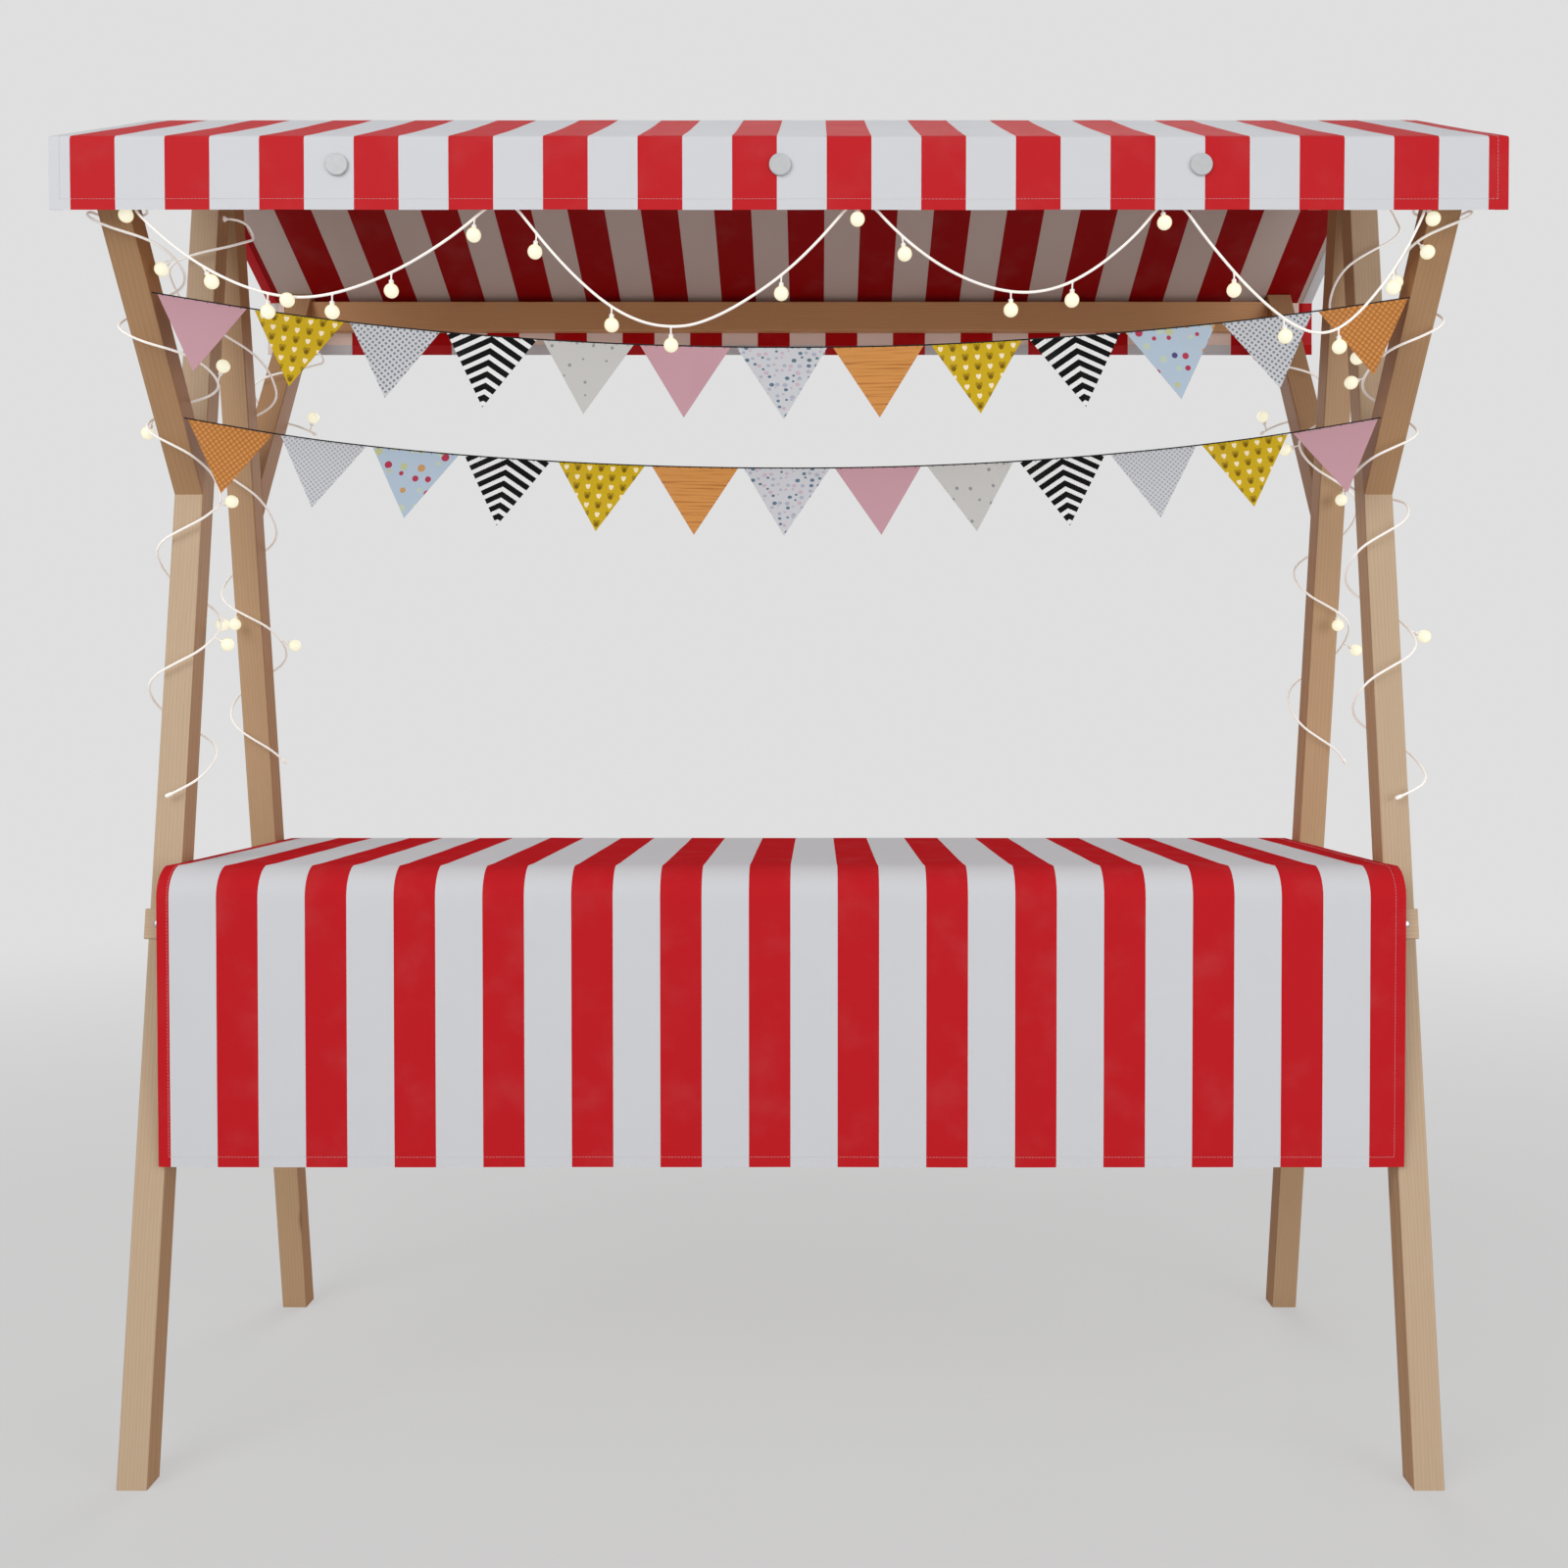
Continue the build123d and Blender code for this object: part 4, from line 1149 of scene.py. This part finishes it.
def counter_form():
    """The counter cloth: a long front drop, a top between the posts and a short rear drop."""
    corners = [
        (-counter_y, counter_low.z), (-counter_y, counter_top), (counter_y, counter_top),
        (counter_y, rear_hem_height),
    ]
    side = ClothSide(corners, [counter_fold, counter_fold], spacing=0.018)
    drop = counter_top - counter_low.z
    notch = drop - counter_fold * (2 - quarter) + (counter_y + post_notch_y)
    front_fold, rear_fold, crease, taper = 0.0042, 0.003, 0.0005, 0.004

    def half_width(station):
        narrower = eased(station, notch - taper, notch)
        return between_posts + (counter_high.x - between_posts) * (1 - narrower)

    def displace(x, station):
        low_in_front = 1 - eased(station, 0.05, drop * 0.95)
        low_at_rear = 1 - eased(side.total - station, 0.02, 0.12)
        at_side = eased(abs(x), 0.84, 0.90)
        folds = 0.5 + 0.5 * wavy(x * 3.4, 0.4 + 0.3 * station, 1.7)
        front = front_fold * low_in_front * folds * (1 - 0.6 * at_side)
        rear = rear_fold * low_at_rear * wavy(x * 4.4, 8.4, 2.7)
        return front + rear + crease * (1 + wavy(x * 8.0, station * 9.0, 6.0))

    return HemmedCloth(side, half_width, displace)


def cloth_mesh(name, form):
    """The middle of a hemmed cloth, with its flat pattern in metres as its UV map."""
    stations, columns = form.rows(), form.columns()
    sheet = bmesh.new()
    pattern = sheet.loops.layers.uv.new("Cloth")
    rows = [[sheet.verts.new(form.place(x, along)) for x in columns] for along in stations]
    for r, c in itertools.product(range(len(rows) - 1), range(len(columns) - 1)):
        marks = [(c, r), (c + 1, r), (c + 1, r + 1), (c, r + 1)]
        face = sheet.faces.new([rows[row][column] for column, row in marks])
        for loop, (column, row) in zip(face.loops, marks):
            loop[pattern].uv = (columns[column], stations[row] - form.middle)
    return mesh_of(sheet, name, cloth_angle)


def hem_stitch_lines(form, seams):
    """Lines of stitching on the outside of a cloth, along its four hems and its cross seams."""
    sizes = stall_sizes()
    from_raw_edge, above_cloth = 0.0035, 0.0001
    inset = sizes.hem - from_raw_edge
    lift = sizes.cloth / 2 + above_cloth
    low, high = sizes.hem + inset, form.flat_length - sizes.hem - inset
    columns = [x for x in form.columns() if abs(x) <= form.half_width(0.0) - inset]
    rows = [row for row in form.rows() if low <= row <= high]
    side = form.half - inset
    across = [low, high, *(form.middle + seam for seam in seams)]
    lines = [[form.place(x, along, lift) for x in columns] for along in across]
    return lines + [[form.place(x, along, lift) for along in rows] for x in (-side, side)]


def hemmed_cloth(name, node, form, finishes, seams):
    """A hemmed cloth with its stitching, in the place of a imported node."""
    sheet = new_object(name, cloth_mesh(name, form), *finishes)
    thickened(sheet, stall_sizes().cloth, cloth_angle, back=1)
    belonging(sheet, node)
    lines = hem_stitch_lines(form, seams)
    stitches = stitched(name.split("_")[0] + "_stitches", lines, sewing_thread())
    belonging(stitches)


# Cords


def route_curve(name, points, resolution):
    """One smooth line through the points of a route."""
    data = bpy.data.curves.new(name, "CURVE")
    data.dimensions = "3D"
    line = data.splines.new("NURBS")
    line.points.add(len(points) - 1)
    for item, point in zip(line.points, points):
        item.co = (*point, 1.0)
    line.order_u = 3
    line.use_endpoint_u = True
    data.resolution_u = resolution
    return new_object(name, data)


def cord_piece(name, points, diameter, finish, node):
    """A cord along its route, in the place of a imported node."""
    piece = route_curve(name, points, resolution=5)
    piece.data.bevel_depth = diameter / 2
    piece.data.bevel_resolution = 3
    piece.data.use_fill_caps = True
    piece.data.materials.append(finish)
    return belonging(piece, node)


def line_points(points):
    """Points of a cord's smooth line, close together."""
    piece = route_curve("line", points, resolution=12)
    curve, mesh = piece.data, bpy.data.meshes.new_from_object(piece)
    found = [vertex.co.copy() for vertex in mesh.vertices]
    bpy.data.objects.remove(piece)
    bpy.data.curves.remove(curve)
    bpy.data.meshes.remove(mesh)
    return found


def declare_cord(route, diameter):
    """Works out the length of a cord's smooth line, and keeps nothing of it."""
    found = line_points(route)
    sum((b - a).length for a, b in zip(found, found[1:]))


def wound_route(middle_x, stops, last_points):
    """Points of a cord wound round timbers, which ends in the midst of its last crossing."""
    points = []
    for (reach, height, timber_here, side), following in zip(stops, stops[1:]):
        middle, standoff = timber_here
        points.append(Vector((middle_x + reach, middle(height), height)))
        if side is None:
            continue
        next_reach, next_height, (next_middle, next_standoff), _ = following
        for way_down, reach_share, standoff_share in crossing_shares:
            x = reach_share * (reach if way_down < 0.5 else next_reach)
            off = side * standoff_share * (standoff + (next_standoff - standoff) * way_down)
            y = middle(height) + (next_middle(next_height) - middle(height)) * way_down
            z = height + (next_height - height) * way_down
            points.append(Vector((middle_x + x, y + off, z)))
    return points[: len(points) - len(crossing_shares) + last_points]


def socket_mesh():
    """A lamp's lead and its moulded socket with two ribs, about Z from the cord's middle."""
    sizes = stall_sizes()
    lead, socket, globe = sizes.lamp_lead / 2, sizes.lamp_socket / 2, sizes.lamp_globe / 2
    join = sizes.lamp_hang - math.sqrt(globe**2 - socket**2)
    shoulder = join - sizes.lamp_socket_length
    start = 0.0010
    rib, groove = socket * 1.05, socket * 0.9
    eighth = sizes.lamp_socket_length / 8
    moulding = (
        (socket, 1), (rib, 2), (rib, 3), (groove, 3.6), (groove, 4.4), (rib, 5), (rib, 6),
    )
    outline = [
        (0, start), (lead * 1.5, start), (lead * 1.5, start + 0.0016), (lead, start + 0.0024),
        (lead, shoulder - 0.0004), (groove, shoulder),
        *((radius, shoulder + eighths * eighth) for radius, eighths in moulding),
        (socket, join + 0.0006), (0, join + 0.0006),
    ]
    return turned_form("lamp_socket", outline, sides=16)


def globe_mesh():
    """A lamp's globe with its short neck, about Z from the cord's middle."""
    sizes = stall_sizes()
    globe, neck = sizes.lamp_globe / 2, sizes.lamp_socket / 2 * 0.86
    low = math.asin(neck / globe)
    steps = 14
    start = sizes.lamp_hang - globe * math.cos(low) - 0.0003
    outline = [(0, start), (neck, start)]
    for n in range(1, steps):
        angle = low + (math.pi - low) * n / steps
        outline.append((globe * math.sin(angle), sizes.lamp_hang - globe * math.cos(angle)))
    return turned_form("lamp_globe", [*outline, (0, sizes.lamp_hang + globe)])


def lamp_pieces(name, spots):
    """The sockets and the globes of one cord's lamps."""
    # The sockets glow faintly: painted light.
    plastic = plain_finish("Socket plastic", "light_cord", 0.42, 300.0, glow=0.12)
    glass = bpy.data.materials.get("Lit globe") or globe_finish()
    sockets = repeated(name + "_sockets", socket_mesh(), spots, plastic)
    globes = repeated(name + "_globes", globe_mesh(), spots, glass)
    node = name + "_lamps"
    return [belonging(sockets, node), belonging(globes, node)]


def cord_fittings(name, outline, sides, spots):
    """Moulded fittings on the light cord, from radii of the cord and heights in millimetres."""
    radius = stall_sizes().light_cord / 2
    form = turned_form(name + "_form", outline, sides, radius, millimetre)
    return belonging(repeated(name, form, spots, cord_jacket()))


# Flags


def flag_middle(start, end, drop_by):
    """The way along a flag's stretch of twine, the way down it, and its middle below the twine."""
    along = (end - start).normalized()
    down_flag = Vector((along.z, 0, -along.x))
    return along, down_flag, (start + end) / 2 + down_flag * drop_by


def flags_mesh(name, route, kinds, swings, seed):
    """All the flags of one twine, each kind with its own finish, bent a little as cotton hangs."""
    sizes = stall_sizes()
    used = list(dict.fromkeys(kinds))
    rows, columns, print_shift, near, flag_angle = 10, 12, 0.13, 0.00002, 50.0
    form = bmesh.new()
    pattern = form.loops.layers.uv.new("Cloth")
    for number, (start, end, kind, swing) in enumerate(zip(route, route[1:], kinds, swings)):
        along, down_flag, middle = flag_middle(start, end, sizes.twine * 0.35)
        chance = random.Random(seed * 100 + number)
        curl = chance.uniform(-0.0035, 0.0035)
        lean_out = chance.uniform(-0.002, 0.002)
        shift = print_shift * number if kind in ("blossom", "confetti", "speckled") else 0.0
        verts, marks = [], []
        for r, c in itertools.product(range(rows + 1), range(columns + 1)):
            low, across = r / rows, 2 * c / columns - 1
            wide, deep = across * sizes.flag_width / 2 * (1 - low), low * sizes.flag_drop
            bend = lean_out * low + curl * low * (1 - across * across * (1 - low))
            place = middle + along * (wide + swing * millimetre * low) + down_flag * deep
            verts.append(form.verts.new(place + Vector((0, bend, 0))))
            marks.append((wide + shift, deep))
        for r, c in itertools.product(range(rows), range(columns)):
            first = r * (columns + 1) + c
            corners = [first, first + columns + 1, first + columns + 2, first + 1]
            face = form.faces.new([verts[k] for k in corners])
            face.material_index = used.index(kind)
            for loop, k in zip(face.loops, corners):
                loop[pattern].uv = marks[k]
    bmesh.ops.remove_doubles(form, verts=form.verts, dist=near)
    bmesh.ops.dissolve_degenerate(form, edges=form.edges, dist=near)
    piece = new_object(name, mesh_of(form, name), *[flag_finish(kind) for kind in used])
    return thickened(piece, sizes.flag_cloth, flag_angle)


def loop_mesh():
    """A loop of thread round the twine and through a flag's top edge, which lies across Z."""
    radius, thread = 0.0017, 0.00028
    form = bmesh.new()
    section = [(radius + thread * u, thread * v) for u, v in circle(5)]
    rings = []
    for x, y in circle(14):
        rings.append([form.verts.new((reach * x, reach * y, z)) for reach, z in section])
    for here, after in zip(rings, rings[1:] + rings[:1]):
        for k in range(len(here)):
            n = (k + 1) % len(here)
            form.faces.new((here[k], after[k], after[n], here[n]))
    bmesh.ops.recalc_face_normals(form, faces=form.faces)
    return mesh_of(form, "thread_loop")


def thread_loops(name, route, finish):
    """Loops of thread that bind the flags to the twine."""
    width, count, below_twine = stall_sizes().flag_width, 8, 0.0006
    spots = []
    for start, end in zip(route, route[1:]):
        along, _, middle = flag_middle(start, end, below_twine)
        for n in range(count):
            spots.append((middle + along * (width * (n + 0.5) / count - width / 2), along))
    return repeated(name, loop_mesh(), spots, finish)


# Operators


class StallOperator:
    """What the stall's operators share."""

    bl_options = {"REGISTER", "UNDO"}


class STALL_OT_timber(StallOperator, bpy.types.Operator):
    """Give every bar and board of the frame planed softwood whose grain follows it"""

    bl_idname = "stall.timber"
    bl_label = "Finish the timber"

    def execute(self, context):
        chance = random.Random(7)
        for nodes, turn, tint in timber_kinds:
            for node in nodes.split():
                seed, brightness = chance.uniform(1.0, 9.0), chance.uniform(0.94, 1.04)
                # The tone is a random brightness times the kind's tint; the tints below one are
                # painted shade.
                tone = [brightness * share for share in tint]
                finish = timber_finish("Softwood " + node, turn, seed, tone)
                refinish(node, finish)
        return {"FINISHED"}


class STALL_OT_roof_cloth(StallOperator, bpy.types.Operator):
    """Lay the striped roof cloth over its rails, with hems and stitching"""

    bl_idname = "stall.roof_cloth"
    bl_label = "Lay the roof cloth"

    def execute(self, context):
        finishes = (
            striped_cloth("Roof cloth", roof_stripes, "white", "red"),
            # The back of the roof: painted shade under the roof, and painted light past the rear
            # eave.
            striped_cloth(
                "Roof cloth back", roof_stripes, "shaded_inner_white", "shaded_inner_red", painted_backlight=1.6
            ),
        )
        lap = 0.006
        seams = (-lap, lap, rear_eave - lap, rear_eave + lap)
        hemmed_cloth(
            "roof_canopy", "roof_cloth", roof_form(), finishes, seams,
        )
        return {"FINISHED"}


class STALL_OT_counter_cloth(StallOperator, bpy.types.Operator):
    """Drape the striped counter cloth, with hems and stitching"""

    bl_idname = "stall.counter_cloth"
    bl_label = "Drape the counter cloth"

    def execute(self, context):
        finish = striped_cloth("Counter cloth", counter_stripes, "white", "red", gloss=0.0)
        hemmed_cloth(
            "counter_drape", "counter_cloth", counter_form(), (finish, finish), (),
        )
        return {"FINISHED"}


class STALL_OT_bunting(StallOperator, bpy.types.Operator):
    """Hang the two lengths of bunting, with their flags bound on by thread"""

    bl_idname = "stall.bunting"
    bl_label = "Hang the bunting"

    def execute(self, context):
        sizes = stall_sizes()
        finish = twine_finish()
        for seed, (name, places, y, kinds, swings) in enumerate(buntings, 1):
            route = [Vector((x, y, z)) for x, z in places]
            node = name + "_bunting_string"
            twine = cord_piece(name + "_twine", route, sizes.twine, finish, node)
            flags = flags_mesh(name + "_flags", route, kinds, swings, seed)
            belonging(flags, name + "_bunting_flags")
            loops = thread_loops(name + "_flag_threads", route, finish)
            belonging(loops)
            declare_cord(route, sizes.twine)
        return {"FINISHED"}


class STALL_OT_festoon(StallOperator, bpy.types.Operator):
    """Hang the festoon of lamps over the hooks of the front eaves rail"""

    bl_idname = "stall.festoon"
    bl_label = "Hang the festoon"

    def execute(self, context):
        diameter = stall_sizes().light_cord
        swags = [(x, eaves_rail_y, z) for x, z in festoon_swags]
        route = [Vector(point) for point in festoon_left_end + swags + festoon_right_end]
        cord = cord_piece(
            "festoon_cord", route, diameter, cord_jacket(), "festoon_light_cord"
        )
        found = line_points(route)
        past_turn = 8
        runs = list(zip(found[past_turn:], found[past_turn + 1 :]))
        spots = []
        for x, way in festoon_lamps:
            before, after = next((a, b) for a, b in runs if a.x <= x < b.x)
            spots.append((before.lerp(after, (x - before.x) / (after.x - before.x)), way))
        pieces = lamp_pieces("festoon", spots)
        for side, place, towards in (("left", *route[:2]), ("right", *route[:-3:-1])):
            name = f"festoon_{side}_joint"
            pieces.append(cord_fittings(name, joint_outline, 18, [(place, towards - place)]))
        declare_cord(route, diameter)
        return {"FINISHED"}


class STALL_OT_wound_cords(StallOperator, bpy.types.Operator):
    """Wind the light cords with their lamps round the arms and the posts"""

    bl_idname = "stall.wound_cords"
    bl_label = "Wind the light cords"

    def execute(self, context):
        diameter, finish = stall_sizes().light_cord, cord_jacket()
        for name, middle_x, stops, last_points, lamps, _ in wound_cords:
            route = wound_route(middle_x, stops, last_points)
            node = name + "_light_cord"
            cord = cord_piece(name + "_cord", route, diameter, finish, node)
            pieces = lamp_pieces(name, [((route[n] + route[n + 1]) / 2, way) for n, way in lamps])
            end = [(route[-1], route[-1] - route[-2])]
            pieces.append(cord_fittings(name + "_cord_end", cap_outline, 18, end))
            declare_cord(route, diameter)
        return {"FINISHED"}


class STALL_OT_fittings(StallOperator, bpy.types.Operator):
    """Add the bolts, screws and cord clips, and finish the caps and hooks"""

    bl_idname = "stall.fittings"
    bl_label = "Add the fittings"

    def execute(self, context):
        steel = plain_finish("Zinc plated steel", "steel", 0.32, 220.0, metallic=1.0)
        caps = plain_finish("Cap plastic", "button", 0.38, 160.0)
        refinish("front_valance_buttons", caps)
        refinish("rear_valance_buttons", caps)
        refinish("eaves_hooks", steel)
        out = Vector((0, -math.cos(lean), math.sin(lean)))
        rail_middle = (table_low + table_high) / 2
        bolt_x = side_x - 0.009
        outer_x = inner_x + timber
        heads, nuts, screws = [], [], []
        for side, facing in itertools.product((-1, 1), repeat=2):
            for spots, shift, way in ((heads, timber / 2, out), (nuts, -timber * 1.5, -out)):
                place = rail_middle + out * shift
                place = (side * bolt_x, -facing * place.y, place.z)
                spots.append((place, (0, -facing * way.y, way.z)))
            rail_height = (rail_low.z + rail_high.z) / 2
            places = [(eaves_rail_y, rail_height + rise) for rise in (-0.014, 0.014)]
            for above_joint in (0.0362, 0.0758):
                height = arm_joint_height + above_joint
                places.append((front_arm_middle(height), height))
            screws += [((side * outer_x, -facing * y, z), (side, 0, 0)) for y, z in places]
        for name, outline, sides, spots in (
            ("table_bolts", bolt_outline, 24, heads),
            ("table_nuts", nut_outline, 6, nuts),
            ("frame_screws", screw_outline, 18, screws),
        ):
            form = turned_form(name + "_form", outline, sides, millimetre, millimetre)
            belonging(repeated(name, form, spots, steel))
        clips = []
        for _, middle_x, stops, last_points, _, from_festoon in wound_cords:
            if not from_festoon:
                start, after = wound_route(middle_x, stops, last_points)[:2]
                clips.append((start, after - start))
        cord_fittings("cord_clips", clip_outline, 20, clips)
        return {"FINISHED"}


class STALL_OT_stage(StallOperator, bpy.types.Operator):
    """Set the floor, the soft studio light and the camera"""

    bl_idname = "stall.stage"
    bl_label = "Set the stage"

    def execute(self, context):
        self.floor()
        self.background()
        self.soft_lamp("Key light", (-2.6, -4.2, 3.4), 3.6, 122.0)
        self.soft_lamp("Fill light", (3.4, -3.6, 1.4), 3.2, 74.0)
        self.soft_lamp("Back light", (0.6, 4.4, 3.4), 3.0, 70.0)
        self.camera()
        context.scene.view_settings.view_transform = "Standard"
        return {"FINISHED"}

    def seen_rays(self, tree):
        """One for rays that look at the floor and the surround, nought for those that light."""
        rays = put(tree, "ShaderNodeLightPath").node.outputs
        mirrored = calc(tree, "MAXIMUM", rays["Is Glossy Ray"], rays["Is Transmission Ray"])
        return calc(tree, "MAXIMUM", rays["Is Camera Ray"], mirrored)

    def floor(self):
        """A pale floor that keeps the stall's shadow and runs out into the surround."""
        half = 60.0
        mesh = bpy.data.meshes.new("floor")
        corners = [(-half, -half, 0), (half, -half, 0), (half, half, 0), (-half, half, 0)]
        mesh.from_pydata(corners, [], [(0, 1, 2, 3)])
        material, tree = new_material("Pale floor")
        place = object_place(tree)
        cloud = cloudy(tree, place, 2.0, 3.0)
        shader = tree.nodes["Principled BSDF"]
        tone = blended(tree, cloud, (0.54, 0.54, 0.54, 1), (0.58, 0.58, 0.58, 1))
        takes = {"Base Color": tone, "Roughness": 0.9, "Specular IOR Level": 0.1}
        give(tree, shader.inputs, takes)
        far = put(tree, "ShaderNodeVectorMath", {0: place}, "Value", operation="LENGTH")
        share = calc(tree, "MULTIPLY_ADD", stepped(tree, far, 1.4, 6.5), 0.45, 0.55)
        bright = {"Color": (backdrop_tone, backdrop_tone, backdrop_tone, 1), "Strength": 1.0}
        plain = put(tree, "ShaderNodeEmission", bright)
        seen = calc(tree, "MULTIPLY", share, self.seen_rays(tree))
        both = put(tree, "ShaderNodeMixShader", {0: seen, 1: shader.outputs[0], 2: plain})
        tree.links.new(both, tree.nodes["Material Output"].inputs["Surface"])
        new_object("studio_floor", mesh, material)

    def background(self):
        """A pale surround that the camera sees, and a plainer one that lights the stall."""
        world = bpy.data.worlds.new("Studio")
        world.use_nodes = True
        tree = world.node_tree
        takes = {"Value": self.seen_rays(tree), "To Min": 0.5, "To Max": backdrop_tone}
        strength = put(tree, "ShaderNodeMapRange", takes)
        takes = {"Color": (1.0, 1.0, 1.0, 1.0), "Strength": strength}
        give(tree, tree.nodes["Background"].inputs, takes)
        bpy.context.scene.world = world

    def soft_lamp(self, name, place, size, power):
        """A square lamp that looks at the stall's middle and isn't seen itself."""
        light = bpy.data.lights.new(name, "AREA")
        light.energy = power
        light.size = size
        lamp = bpy.data.objects.new(name, light)
        lamp.location = place
        towards = Vector((0, 0, 1.1)) - Vector(place)
        lamp.rotation_euler = towards.to_track_quat("-Z", "Y").to_euler()
        lamp.visible_camera = False
        bpy.context.scene.collection.objects.link(lamp)

    def camera(self):
        """The photograph's view, from in front of the counter at the height of a chest."""
        data = bpy.data.cameras.new("Photo view")
        data.lens = 36.0
        data.sensor_width = 36.0
        data.shift_x = -0.02156
        data.shift_y = -0.01813
        camera = bpy.data.objects.new("Photo view", data)
        camera.location = (0.053, -2.5693, 1.0945)
        camera.rotation_euler = (math.radians(88.67), 0, 0)
        bpy.context.scene.collection.objects.link(camera)
        bpy.context.scene.camera = camera


class STALL_PT_dressing(bpy.types.Panel):
    """The stall's operators, sizes and colours"""

    bl_idname = "STALL_PT_dressing"
    bl_label = "Market stall"
    bl_space_type = "VIEW_3D"
    bl_region_type = "UI"
    bl_category = "Stall"

    def draw(self, context):
        for operator in operators:
            self.layout.operator(operator.bl_idname)
        for group in (context.scene.stall_sizes, context.scene.stall_colours):
            box = self.layout.box()
            for name in group.__annotations__:
                box.prop(group, name)


operators = (
    STALL_OT_timber, STALL_OT_roof_cloth, STALL_OT_counter_cloth, STALL_OT_bunting,
    STALL_OT_festoon, STALL_OT_wound_cords, STALL_OT_fittings, STALL_OT_stage,
)
classes = (StallSizes, StallColours, *operators, STALL_PT_dressing)


def register():
    """Adds the stall's classes and its settings on the scene."""
    for item in classes:
        bpy.utils.register_class(item)
    bpy.types.Scene.stall_sizes = bpy.props.PointerProperty(type=StallSizes)
    bpy.types.Scene.stall_colours = bpy.props.PointerProperty(type=StallColours)


def unregister():
    """Takes the stall's settings and classes away."""
    del bpy.types.Scene.stall_colours
    del bpy.types.Scene.stall_sizes
    for item in reversed(classes):
        bpy.utils.unregister_class(item)


def main():
    """Dresses the stall piece by piece."""
    register()
    bpy.ops.stall.timber()
    bpy.ops.stall.roof_cloth()
    bpy.ops.stall.counter_cloth()
    bpy.ops.stall.bunting()
    bpy.ops.stall.festoon()
    bpy.ops.stall.wound_cords()
    bpy.ops.stall.fittings()
    bpy.ops.stall.stage()


if __name__ == "__main__":
    main()
